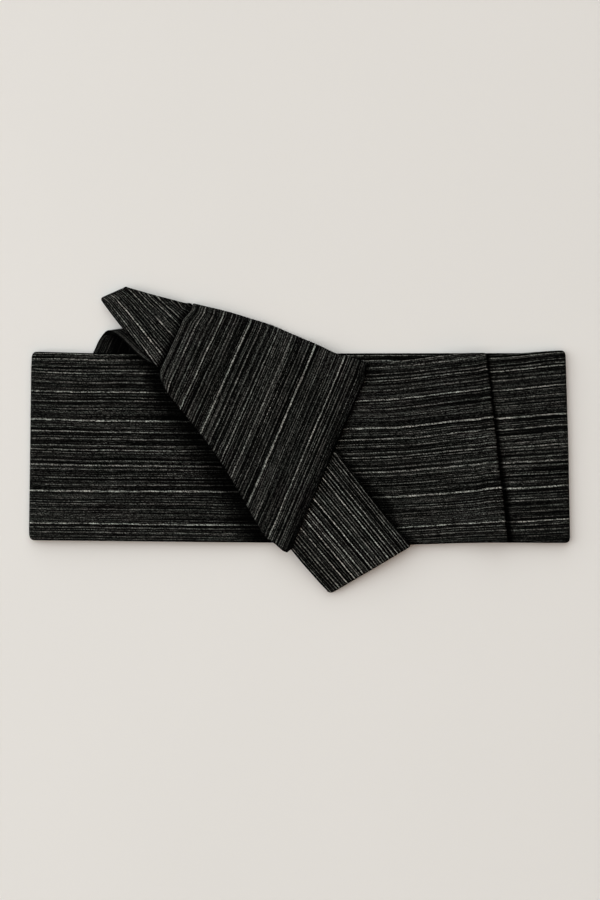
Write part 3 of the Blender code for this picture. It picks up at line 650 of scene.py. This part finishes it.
def off_line(line, x, y):
    """How far left of a straight line a place lies."""
    (x0, y0), (x1, y1) = line
    return ((x1 - x0) * (y - y0) - (y1 - y0) * (x - x0)) / math.hypot(x1 - x0, y1 - y0)


def tare_tip():
    rail = curved(TIP, 60)
    rx, ry = rail[:, 2], rail[:, 3]
    lx, ly = rail[:, 0], rail[:, 1]
    size = np.hypot(rx - lx, ry - ly)
    ux, uy = (rx - lx) / size, (ry - ly) / size
    radius = 1.2
    turn = size - radius - CLOTH / 2
    share = np.concatenate([np.array(FINE) / 30.0, np.linspace(0.085, 1.0, 40)])
    x = lx[:, None] + ux[:, None] * turn[:, None] * share
    y = ly[:, None] + uy[:, None] * turn[:, None] * share
    ex, ey = x[:1] - x[5:6], y[:1] - y[5:6]
    lead = np.hypot(x - x[:1], y - y[:1])
    back = rounded(lead, share * size[:, None], 3.4) + rounded(lead, (1 - share) * size[:, None], 2.4)
    x, y = x - ex / np.hypot(ex, ey) * back, y - ey / np.hypot(ex, ey) * back
    past = y - lerp(92.0, 105.2, np.clip((x + 163.0) / 97.0, 0, 1))
    z = te_height(x, y) + TE_HALF + GAP + CLOTH / 2 + 0.1
    z = z - TIP_DROOP * smooth((past - 1.0) / 14.0) - TIP_CORNER * smooth((-145.0 - x) / 20.0)
    z = z - TIP_UNDER * smooth((y - 107.5) / 5.0) * smooth((x + 106.0) / 12.0)
    # A crease from the tip's upper corner: past it the cloth rolls down over the back.
    fold = rail_distance(TIP_CREASE, x, y)
    z = z - 0.9 * smooth(fold / 9.0) + 0.25 * np.exp(-(fold / 2.0) ** 2) + creases(TIP_PULLS, x, y)
    cols = [np.stack([x[:, k], y[:, k], z[:, k]], 1) for k in range(x.shape[1])]
    top = cols[-1][:, 2] - radius
    for k in range(1, 12):
        a = math.pi * k / 12
        cols.append(np.stack([lx + ux * (turn + radius * math.sin(a)), ly + uy * (turn + radius * math.sin(a)),
                              top + radius * math.cos(a)], 1))
    for draw in (0.0, 1.5):
        cols.append(np.stack([lx + ux * (turn - draw), ly + uy * (turn - draw), top - radius], 1))
    p = np.stack(cols, 1)
    far = np.concatenate([np.zeros((p.shape[0], 1)),
                          np.cumsum(np.linalg.norm(np.diff(p, axis=1), axis=2), 1)], 1)
    flat_x = lx[:, None] + ux[:, None] * far
    flat_y = ly[:, None] + uy[:, None] * far
    # The yarns spread like a fan from the cut end towards the panel.
    near_side = off_line(((-169.5, 119.9), (-118.4, 60.6)), flat_x, flat_y)
    far_side = -off_line(((-106.4, 119.0), (-96.4, 111.4)), flat_x, flat_y)
    u = -off_line(((-169.5, 119.9), (-147.6, 129.4)), flat_x, flat_y)
    v = near_side / (near_side + far_side) * 48.0 + 0.075 * u
    # Painted shade beside the panel's left-hand selvedge and along the tip's turned cut end.
    dim = beside(rail_distance(PANEL_LEFT, p[..., 0], p[..., 1]) - 0.6, 3.6, 0.16)
    dim = dim * lerp(0.3, 1.0, smooth((u - 0.8) / 1.6))
    return cloth("tip_cloth", p, u, v, hem=(2.2, 0), shade=dim)


TIP_CREASE = [(-126.0, 126.4), (-122.2, 122.5), (-111.0, 112.4), (-100.7, 101.9), (-92.0, 92.0)]
TIP_PULLS = [Crease(-150, 112, -128, 84, 4, 0.22), Crease(-141, 118, -118, 92, 4, -0.20)]


def knot_layers():
    """Hidden layers above the band, one strip folded to and fro."""
    xs = np.linspace(-65.0, 7.0, 30)
    rail = [(-66.0, 87.0), (-61.0, 88.0), (-52.0, 96.0), (-40.0, 93.6), (-22.0, 87.6), (-5.0, 80.6), (8.0, 75.6)]
    y1 = y_of(rail, xs) - 1.2
    y0 = np.full_like(xs, 75.2)
    y1 = np.maximum(y1, y0 + 0.8)
    r = 0.8
    cols = []
    for k, z in enumerate((0.62, 0.62 + 2 * r, 0.62 + 4 * r)):
        a, b = (y0, y1) if k % 2 == 0 else (y1, y0)
        for t in np.linspace(0, 1, 10):
            cols.append(np.stack([xs, lerp(a, b, t), np.full_like(xs, z)], 1))
        if k < 2:
            out = 1 if k % 2 == 0 else -0.3
            for q in range(1, 6):
                ang = math.pi * q / 6
                cols.append(np.stack([xs, b + out * r * math.sin(ang), np.full_like(xs, z + r - r * math.cos(ang))], 1))
    p = np.stack(cols, 1)
    far = np.concatenate([np.zeros((p.shape[0], 1)),
                          np.cumsum(np.linalg.norm(np.diff(p, axis=1), axis=2), 1)], 1)
    return cloth("knot_layers", p, far, np.broadcast_to((xs + 66.0)[:, None] + 40.0, p.shape[:2]), ridge=(0, 0, 0, 0))


band = outer_turn()
inner = inner_turn()
last = last_stretch()
panel = knot_panel()
loop = doubled(TE_LOOP, "te_loop_cloth", (0, 0), 110, shade=inside_loop)
tail = doubled(TE_TAIL, "te_tail_cloth", (0, 2.4), 84,
               fan=((25.8, -130.5, -3.4, -97.5), (94.6, -89.7, 44.6, -27.4)), cut_corner=True)
tip = tare_tip()
layers = knot_layers()

# ------------------------------------------------------------------ woven stripes
# Warp yarns by tone, and the order they are set up in: millimetres from one selvedge,
# how wide the group of yarns is, and which yarn.
YARN = {"ivory": 0.142, "silver": 0.084, "ash": 0.047, "smoke": 0.026}
Warp = namedtuple("Warp", "place width yarn")
FACE = [Warp(1.3, 0.8, "silver"), Warp(5.8, 0.9, "silver"), Warp(7.2, 0.6, "smoke"), Warp(11.6, 0.6, "ash"),
        Warp(14.7, 0.9, "ash"), Warp(17.3, 1.0, "silver"), Warp(22.0, 0.9, "smoke"), Warp(25.4, 1.0, "ash"),
        Warp(30.7, 0.8, "smoke"), Warp(33.6, 1.0, "ivory"), Warp(36.0, 0.7, "smoke"), Warp(41.4, 1.0, "ash"),
        Warp(45.5, 0.9, "smoke"), Warp(48.0, 0.7, "ash"), Warp(51.3, 0.6, "smoke"), Warp(58.2, 1.3, "ivory"),
        Warp(62.5, 0.7, "smoke"), Warp(64.2, 0.6, "ash"), Warp(67.9, 1.0, "silver"), Warp(73.9, 1.1, "ash"),
        Warp(79.6, 1.1, "ash"), Warp(83.3, 1.0, "silver"), Warp(85.7, 0.7, "ash"), Warp(89.1, 0.6, "smoke"),
        Warp(92.6, 0.9, "ash"), Warp(96.5, 1.3, "silver"), Warp(99.9, 0.9, "ash"), Warp(106.9, 0.8, "ash"),
        Warp(109.8, 0.6, "smoke"), Warp(112.9, 0.9, "ash"), Warp(118.4, 1.4, "ivory"), Warp(122.6, 0.6, "smoke"),
        Warp(124.8, 0.6, "smoke"), Warp(127.1, 0.6, "ash"), Warp(129.3, 0.9, "ash"), Warp(134.0, 0.9, "smoke"),
        Warp(138.4, 0.9, "smoke"), Warp(143.1, 0.7, "smoke"), Warp(146.5, 1.0, "ivory"), Warp(149.9, 0.8, "ash"),
        Warp(154.1, 1.0, "ash"), Warp(157.5, 0.7, "smoke"), Warp(159.6, 0.7, "smoke")]
HAND = [Warp(1.5, 0.6, "ash"), Warp(4.6, 0.5, "smoke"), Warp(7.2, 0.5, "ash"), Warp(9.6, 0.8, "silver"),
        Warp(12.6, 0.7, "ash"), Warp(15.2, 0.5, "smoke"), Warp(17.6, 0.8, "ivory"), Warp(20.2, 0.5, "smoke"),
        Warp(22.2, 0.5, "ash"), Warp(25.2, 0.8, "ivory"), Warp(27.4, 0.5, "smoke"), Warp(29.3, 0.7, "silver"),
        Warp(30.8, 0.5, "ash"), Warp(33.5, 0.9, "ivory"), Warp(36.0, 0.5, "smoke"), Warp(38.3, 0.7, "ash"),
        Warp(41.8, 0.8, "ivory"), Warp(44.2, 0.5, "smoke"), Warp(46.7, 0.7, "silver"), Warp(49.0, 0.5, "smoke"),
        Warp(51.1, 0.8, "silver"), Warp(53.6, 0.5, "ash"), Warp(56.0, 0.5, "smoke"), Warp(58.6, 0.8, "ivory"),
        Warp(61.2, 0.5, "ash"), Warp(63.8, 0.8, "silver"), Warp(67.2, 0.7, "silver"), Warp(70.2, 0.5, "smoke"),
        Warp(73.6, 0.6, "ash"), Warp(75.8, 0.5, "silver"), Warp(78.6, 0.6, "ash")]
PANEL = [Warp(1.2, 0.8, "ash"), Warp(2.4, 0.7, "ash"), Warp(3.8, 0.5, "smoke"), Warp(7.2, 0.6, "ash"),
         Warp(9.2, 0.9, "ash"), Warp(11.8, 1.0, "silver"), Warp(16.4, 0.9, "smoke"), Warp(19.8, 1.0, "ash"),
         Warp(25.1, 0.8, "smoke"), Warp(27.8, 1.0, "ivory"), Warp(30.1, 0.7, "smoke"), Warp(35.4, 1.0, "ash"),
         Warp(39.4, 0.9, "smoke"), Warp(41.8, 0.7, "ash"), Warp(45.1, 0.6, "smoke"), Warp(52.0, 1.3, "ivory"),
         Warp(56.2, 0.7, "smoke"), Warp(58.0, 0.6, "ash"), Warp(61.7, 1.0, "silver"), Warp(67.7, 1.1, "ash"),
         Warp(73.4, 1.1, "ash"), Warp(77.0, 1.0, "silver"), Warp(79.5, 0.7, "ash"), Warp(83.0, 0.6, "smoke"),
         Warp(86.5, 0.9, "ash"), Warp(90.5, 1.3, "silver"), Warp(94.0, 0.9, "ash"), Warp(101.2, 0.8, "ash"),
         Warp(104.0, 0.6, "smoke"), Warp(107.0, 0.9, "ash"), Warp(112.5, 1.4, "ivory"), Warp(116.5, 0.6, "smoke"),
         Warp(118.7, 0.6, "smoke"), Warp(121.0, 0.6, "ash"), Warp(123.0, 0.9, "ash"), Warp(127.6, 0.9, "smoke"),
         Warp(131.9, 0.9, "smoke"), Warp(136.5, 0.7, "smoke"), Warp(139.8, 1.0, "ivory"), Warp(143.2, 0.8, "ash"),
         Warp(147.3, 1.0, "ash"), Warp(150.6, 0.7, "smoke"), Warp(152.6, 0.7, "smoke")]
HAND = HAND + [Warp(WIDTH - w.place, w.width, w.yarn) for w in reversed(HAND)]
TARE = [Warp(1.3, 0.5, "smoke"), Warp(5.1, 0.8, "silver"), Warp(7.0, 0.5, "smoke"), Warp(9.1, 0.6, "ash"),
        Warp(10.9, 0.5, "smoke"), Warp(13.0, 0.9, "ivory"), Warp(15.2, 0.6, "ash"), Warp(17.9, 0.5, "smoke"),
        Warp(20.9, 0.6, "ash"), Warp(23.2, 0.6, "ash"), Warp(25.1, 0.5, "smoke"), Warp(28.7, 0.8, "silver"),
        Warp(31.0, 0.5, "smoke"), Warp(33.4, 0.6, "ash"), Warp(35.3, 0.5, "smoke"), Warp(37.8, 0.8, "silver"),
        Warp(39.4, 0.5, "smoke"), Warp(42.1, 0.7, "silver"), Warp(44.0, 0.5, "smoke"), Warp(46.0, 0.5, "smoke"),
        Warp(47.8, 0.6, "ash"), Warp(50.5, 0.7, "silver"), Warp(52.3, 0.6, "ash"), Warp(54.6, 0.5, "smoke"),
        Warp(57.4, 0.6, "ash")]

# The plain yarns between the stripes are paler in some breadths than in others.
Breadth = namedtuple("Breadth", "place tone")
PLAIN = [Breadth(4, 0.70), Breadth(14, 0.72), Breadth(22, 0.88), Breadth(30, 1.00), Breadth(37, 0.90),
         Breadth(44, 1.25), Breadth(52, 1.10), Breadth(60, 0.88), Breadth(67, 0.98), Breadth(75, 1.30),
         Breadth(84, 1.10), Breadth(91, 1.15), Breadth(98, 1.35), Breadth(106, 1.12), Breadth(114, 0.72),
         Breadth(121, 0.85), Breadth(128, 1.45), Breadth(136, 1.25), Breadth(144, 1.15), Breadth(152, 1.00)]
PANEL_PLAIN = [Breadth(0.977 * b.place - 4.0, b.tone) for b in PLAIN[1:]]


class Graph:
    """Small helper to write a material's nodes."""

    def __init__(self, name):
        self.mat = bpy.data.materials.new(name)
        self.mat.use_nodes = True
        self.tree = self.mat.node_tree
        self.tree.nodes.clear()
        self.out = self.tree.nodes.new("ShaderNodeOutputMaterial")
        self.bsdf = self.tree.nodes.new("ShaderNodeBsdfPrincipled")
        self.tree.links.new(self.bsdf.outputs[0], self.out.inputs[0])

    def put(self, socket, value):
        if isinstance(value, bpy.types.NodeSocket):
            self.tree.links.new(value, socket)
        else:
            socket.default_value = value

    def math(self, op, a, b=0.0, clamp=False):
        node = self.tree.nodes.new("ShaderNodeMath")
        node.operation, node.use_clamp = op, clamp
        self.put(node.inputs[0], a)
        self.put(node.inputs[1], b)
        return node.outputs[0]

    def span(self, value, a, b, c, d, smoothly=False):
        node = self.tree.nodes.new("ShaderNodeMapRange")
        if smoothly:
            node.interpolation_type = "SMOOTHSTEP"
        self.put(node.inputs["Value"], value)
        for key, x in zip(("From Min", "From Max", "To Min", "To Max"), (a, b, c, d)):
            node.inputs[key].default_value = x
        return node.outputs[0]

    def join(self, x, y, z=0.0):
        node = self.tree.nodes.new("ShaderNodeCombineXYZ")
        for socket, value in zip(node.inputs, (x, y, z)):
            self.put(socket, value)
        return node.outputs[0]

    def noise(self, x, y, seed, detail=0.0, rough=0.5):
        node = self.tree.nodes.new("ShaderNodeTexNoise")
        node.noise_dimensions = "3D"
        self.put(node.inputs["Vector"], self.join(x, y, seed))
        node.inputs["Scale"].default_value = 1.0
        node.inputs["Detail"].default_value = detail
        node.inputs["Roughness"].default_value = rough
        return node.outputs[0]

    def scaled(self, value, factor):
        return self.math("MULTIPLY", value, factor)

    def ramp(self, value, stops):
        node = self.tree.nodes.new("ShaderNodeValToRGB")
        self.put(node.inputs[0], value)
        ramp = node.color_ramp
        while len(ramp.elements) > 1:
            ramp.elements.remove(ramp.elements[-1])
        ramp.elements[0].position, ramp.elements[0].color = stops[0][0], (stops[0][1],) * 3 + (1,)
        for place, grey in stops[1:]:
            ramp.elements.new(place).color = (grey, grey, grey, 1)
        return node.outputs[0]


BESIDE = {"ivory": 0.95, "silver": 0.85, "ash": 0.6, "smoke": 0.3}


def warp_ramps(g, v, chart, guard=False):
    """The chart as soft-edged peaks, seven groups of yarn to a ramp.
    guard: how dark the yarns next to each group are instead."""
    total = None
    for k in range(0, len(chart), 7):
        marks = []
        for w in chart[k:k + 7]:
            if guard:
                tone, half, soft = BESIDE[w.yarn], w.width / 2 + 0.55, 0.35
            else:
                tone, half, soft = YARN[w.yarn], w.width / 2 - 0.09, 0.17
            marks += [(w.place - half - soft, 0.0), (w.place - half, tone),
                      (w.place + half, tone), (w.place + half + soft, 0.0)]
        lo, hi = marks[0][0] - 0.5, marks[-1][0] + 0.5
        stops, last_place = [(0.0, 0.0)], 0.0
        for place, value in marks:
            share = max((place - lo) / (hi - lo), last_place + 1e-4)
            stops.append((min(share, 1.0), value))
            last_place = share
        stops.append((1.0, 0.0))
        part = g.ramp(g.span(v, lo, hi, 0.0, 1.0), stops)
        total = part if total is None else g.math("ADD", total, part)
    return total


Weave = namedtuple("Weave", "name chart seed stripes fine bead wander black reed plain", defaults=(None,))


def obi_material(w):
    g = Graph(w.name)
    uv = g.tree.nodes.new("ShaderNodeUVMap")
    uv.uv_map = "strip"
    cut = g.tree.nodes.new("ShaderNodeSeparateXYZ")
    g.tree.links.new(uv.outputs[0], cut.inputs[0])
    u = g.scaled(cut.outputs[0], 1000.0)
    v = g.scaled(cut.outputs[1], 1000.0)
    # The 'shade' UV layer carries painted shade and painted light, a factor on the colour.
    dim_uv = g.tree.nodes.new("ShaderNodeUVMap")
    dim_uv.uv_map = "shade"
    dim_cut = g.tree.nodes.new("ShaderNodeSeparateXYZ")
    g.tree.links.new(dim_uv.outputs[0], dim_cut.inputs[0])
    dim = dim_cut.outputs[0]

    drift = g.noise(g.scaled(u, 0.016), g.scaled(v, 0.04), 3.7 + w.seed, 1.0)
    jitter = g.noise(g.scaled(u, 0.22), g.scaled(v, 0.7), 9.1 + w.seed)
    line = g.math("ADD", v, g.span(drift, 0.3, 0.7, -0.5 * w.wander, 0.5 * w.wander))
    line = g.math("ADD", line, g.span(jitter, 0.3, 0.7, -0.14, 0.14))

    # Charted yarns, slubbed: bright nubs, thin places and short gaps along each one.
    charted = warp_ramps(g, line, w.chart)
    beside_yarn = warp_ramps(g, line, w.chart, guard=True)
    nub = g.noise(g.scaled(u, 0.66), g.scaled(line, 1.1), 1.3 + w.seed, 1.0, 0.7)
    nub = g.math("POWER", g.span(nub, 0.30, 0.72, 0.0, 1.0), 1.6)
    nub = g.span(nub, 0.0, 0.55, 1.0 - 0.85 * w.bead, 1.0 + 1.15 * w.bead)
    gaps = g.noise(g.scaled(u, 0.085), g.scaled(line, 0.9), 5.9 + w.seed, 1.0)
    gaps = g.span(gaps, 0.36, 0.60, 1.0 - 0.62 * w.bead, 1.0 + 0.25 * w.bead)
    stripes = g.scaled(g.math("MULTIPLY", charted, g.math("MULTIPLY", nub, gaps)), w.stripes)

    # Plain yarns between them: fine, nearly unbroken lines, some of them black.
    thin = g.noise(g.scaled(u, 0.005), g.scaled(line, 1.5), 2.2 + w.seed, 1.0, 0.9)
    thin = g.math("POWER", g.span(thin, 0.40, 0.68, 0.0, 1.0), 1.6)
    broken = g.noise(g.scaled(u, 0.035), g.scaled(line, 1.5), 4.4 + w.seed, 1.0)
    broken = g.span(broken, 0.40, 0.66, 0.25, 1.5)
    speck = g.noise(g.scaled(u, 0.85), g.scaled(line, 1.35), 7.7 + w.seed, 1.0, 0.8)
    speck = g.math("POWER", g.span(speck, 0.36, 0.72, 0.0, 1.0), 2.0)
    speck = g.span(speck, 0.0, 0.6, 0.20, 3.1)
    fine = g.math("MULTIPLY", g.math("MULTIPLY", thin, broken), speck)
    fine = g.scaled(fine, 0.030 * w.fine)
    patch = g.noise(g.scaled(u, 0.02), g.scaled(v, 0.11), 15.2 + w.seed, 1.0)
    patch = g.span(patch, 0.42, 0.66, 0.25, 1.5)
    fleck = g.noise(g.scaled(u, 0.40), g.scaled(line, 1.55), 8.8 + w.seed, 1.0, 0.7)
    fleck = g.math("POWER", g.span(fleck, 0.48, 0.76, 0.0, 1.0), 1.3)
    fleck = g.math("MULTIPLY", g.scaled(fleck, 0.040 * w.fine), patch)
    black = g.noise(g.scaled(u, 0.004), g.scaled(line, 1.9), 11.6 + w.seed, 1.0, 0.6)
    black = g.span(black, 0.40, 0.49, 0.03, 1.0)
    plain = g.math("MULTIPLY", g.math("ADD", fine, fleck), black)
    plain = g.math("MULTIPLY", plain, g.math("SUBTRACT", 1.0, beside_yarn, clamp=True))
    # Weft threads cross every yarn and show as fine ribs.
    weft = g.math("SINE", g.math("ADD", g.scaled(u, 2 * math.pi / 2.1), g.scaled(jitter, 7.0)))
    rib = g.span(weft, -1.0, 1.0, 0.70, 1.30)
    # The warp goes through the reed in pairs: a finer rhythm under the stripes.
    reed = g.math("SINE", g.math("ADD", g.scaled(line, 2 * math.pi / 1.82), g.scaled(drift, 9.0)))
    plain = g.math("MULTIPLY", plain, g.span(reed, -1.0, 1.0, 1.02 - w.reed, 1.02 + w.reed))
    if w.plain:
        lo, hi = w.plain[0].place, w.plain[-1].place
        tone = g.ramp(g.span(v, lo, hi, 0.0, 1.0), [((b.place - lo) / (hi - lo), b.tone / 2) for b in w.plain])
        plain = g.math("MULTIPLY", plain, g.scaled(tone, 2.0))
    plain = g.math("MAXIMUM", g.math("SUBTRACT", plain, w.black), 0.0)
    grey = g.math("MULTIPLY", g.math("ADD", stripes, plain), rib)
    grey = g.math("MULTIPLY", g.math("ADD", grey, 0.0007), dim)

    tint = g.noise(g.scaled(u, 0.05), g.scaled(line, 0.6), 12.4 + w.seed, 1.0)
    mix = g.tree.nodes.new("ShaderNodeMix")
    mix.data_type = "RGBA"
    g.put(mix.inputs[0], g.span(tint, 0.35, 0.65, 0.0, 1.0))
    mix.inputs[6].default_value = (0.96, 1.0, 0.88, 1)
    mix.inputs[7].default_value = (1.05, 1.0, 0.90, 1)
    colour = g.tree.nodes.new("ShaderNodeMix")
    colour.data_type, colour.blend_type = "RGBA", "MULTIPLY"
    colour.inputs[0].default_value = 1.0
    g.tree.links.new(mix.outputs[2], colour.inputs[6])
    g.tree.links.new(g.join(grey, grey, grey), colour.inputs[7])
    g.tree.links.new(colour.outputs[2], g.bsdf.inputs["Base Color"])

    # Relief: each yarn is a rib, thicker at its nubs, with the weft between.
    ply = g.math("SINE", g.scaled(v, 2 * math.pi / 0.62))
    relief = g.math("ADD", g.scaled(g.math("ADD", ply, weft), 0.18), g.scaled(thin, 0.5))
    relief = g.math("ADD", relief, g.scaled(charted, 3.0))
    bump = g.tree.nodes.new("ShaderNodeBump")
    bump.inputs["Strength"].default_value = 0.4
    bump.inputs["Distance"].default_value = 0.0002
    g.tree.links.new(relief, bump.inputs["Height"])
    g.tree.links.new(bump.outputs[0], g.bsdf.inputs["Normal"])
    g.put(g.bsdf.inputs["Roughness"], g.span(grey, 0.0, 0.12, 0.88, 0.66))
    g.bsdf.inputs["Specular IOR Level"].default_value = 0.012
    g.bsdf.inputs["Sheen Weight"].default_value = 0.0
    return g.mat


def selvedge(chart, width, yarn):
    """The chart with a paler cord along both selvedges, used as a painted highlight for a lit edge."""
    inside = [w for w in chart if width < w.place < WIDTH - width]
    return [Warp(width / 2, width - 0.6, yarn)] + inside + [Warp(WIDTH - width / 2, width - 0.6, yarn)]


face = obi_material(Weave("obi_face", FACE, 0.0, 1.0, 1.05, 1.08, 1.0, 0.0013, 0.68, PLAIN))
panel_face = obi_material(Weave("obi_panel", PANEL, 0.0, 1.0, 1.05, 0.88, 0.35, 0.0021, 0.92, PANEL_PLAIN))
hand = obi_material(Weave("obi_hand", HAND, 20.0, 1.46, 0.76, 0.84, 0.5, 0.0030, 0.92))
# The loop's cloth is the hand end's cloth with dimmer stripes, painted shade for the loop's roll, and a cord along each
# selvedge as a painted highlight for the loop's lit rim.
roll = obi_material(Weave("obi_roll_painted_shade_and_highlight", selvedge(HAND, 3.4, "smoke"), 20.0, 0.6, 0.8, 0.6, 0.5, 0.0012, 0.6))
tare = obi_material(Weave("obi_tare", TARE, 40.0, 1.34, 0.98, 0.9, 0.4, 0.0036, 0.92))

for thing, material in ((band, face), (inner, face), (last, face), (panel, panel_face), (layers, face),
                        (loop, roll), (tail, hand), (tip, tare)):
    thing.data.materials.append(material)

# ------------------------------------------------------------------ frame
for thing, nodes, name in ((band, ("wrap_left_front", "wrap_back", "wrap_right_front"), "obi_cloth"),
                           (inner, ("wrap_inner",), "obi_cloth_inner"),
                           (last, ("wrap_outer_front",), "obi_cloth"),
                           (panel, ("knot_panel",), "obi_cloth"),
                           (loop, ("te_loop",), "obi_cloth"),
                           (tail, ("te_tail",), "obi_cloth"),
                           (tip, ("tare_tip",), "obi_cloth"),
                           (layers, ("knot_core",), "obi_cloth_inner")):
    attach(thing, "root")
    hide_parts(*nodes)


# ------------------------------------------------------------------ stage, light and camera
def stage():
    size = 4.0
    mesh = bpy.data.meshes.new("floor")
    n = 24
    verts = [((i / n - 0.5) * size, (j / n - 0.5) * size, -0.00005) for j in range(n + 1) for i in range(n + 1)]
    faces = [(j * (n + 1) + i, j * (n + 1) + i + 1, (j + 1) * (n + 1) + i + 1, (j + 1) * (n + 1) + i)
             for j in range(n) for i in range(n)]
    mesh.from_pydata(verts, [], faces)
    floor = bpy.data.objects.new("floor", mesh)
    bpy.context.scene.collection.objects.link(floor)
    g = Graph("pale_floor")
    tex = g.tree.nodes.new("ShaderNodeTexCoord")
    noise = g.tree.nodes.new("ShaderNodeTexNoise")
    noise.inputs["Scale"].default_value = 3.0
    noise.inputs["Detail"].default_value = 2.0
    g.tree.links.new(tex.outputs["Object"], noise.inputs["Vector"])
    ramp = g.tree.nodes.new("ShaderNodeValToRGB")
    ramp.color_ramp.elements[0].position, ramp.color_ramp.elements[0].color = 0.3, (0.772, 0.738, 0.694, 1)
    ramp.color_ramp.elements[1].position, ramp.color_ramp.elements[1].color = 0.7, (0.786, 0.750, 0.706, 1)
    g.tree.links.new(noise.outputs[0], ramp.inputs[0])
    g.tree.links.new(ramp.outputs[0], g.bsdf.inputs["Base Color"])
    g.bsdf.inputs["Roughness"].default_value = 0.9
    g.bsdf.inputs["Specular IOR Level"].default_value = 0.1
    mesh.materials.append(g.mat)


stage()
scene = bpy.context.scene
world = bpy.data.worlds.new("studio")
scene.world = world
world.use_nodes = True
back = next(n for n in world.node_tree.nodes if n.type == "BACKGROUND")
back.inputs[0].default_value = (1.0, 0.97, 0.94, 1)
back.inputs[1].default_value = 0.07


def lamp(kind, name, place, power, **more):
    data = bpy.data.lights.new(name, kind)
    data.energy = power
    for key, value in more.items():
        setattr(data, key, value)
    light = bpy.data.objects.new(name, data)
    light.location = place
    light.rotation_mode = "QUATERNION"
    light.rotation_quaternion = (-Vector(place)).to_track_quat("-Z", "Y")
    scene.collection.objects.link(light)


# A very large soft source up and to the left, and a little more from the left side.
# It is a little cool and a weak fill from the other side is warm, so the floor's shadows are warm.
COOL = (0.910, 0.969, 1.0)
lamp("SUN", "key", (-0.52, 0.62, 1.0), 3.02, angle=math.radians(112), color=COOL)
lamp("AREA", "side", (-1.7, 0.1, 1.3), 11.9, shape="RECTANGLE", size=1.6, size_y=2.4, color=COOL)
lamp("SUN", "fill", (0.30, -0.50, 0.8), 0.37, angle=math.radians(70), color=(1.0, 0.5, 0.2))

cam_data = bpy.data.cameras.new("camera")
cam_data.lens, cam_data.sensor_width = 100.0, 36.0
cam_data.clip_start, cam_data.clip_end = 0.05, 20.0
camera = bpy.data.objects.new("camera", cam_data)
VIEW_HIGH = 0.765
camera.location = (0.0002, -0.0086, VIEW_HIGH * 100.0 / 36.0)
camera.rotation_euler = (0, 0, 0)
scene.collection.objects.link(camera)
scene.camera = camera
scene.view_settings.view_transform = "Standard"

# ------------------------------------------------------------------ a record type for cloth cuts


Cut = namedtuple("Cut", "thing wide long held rests")
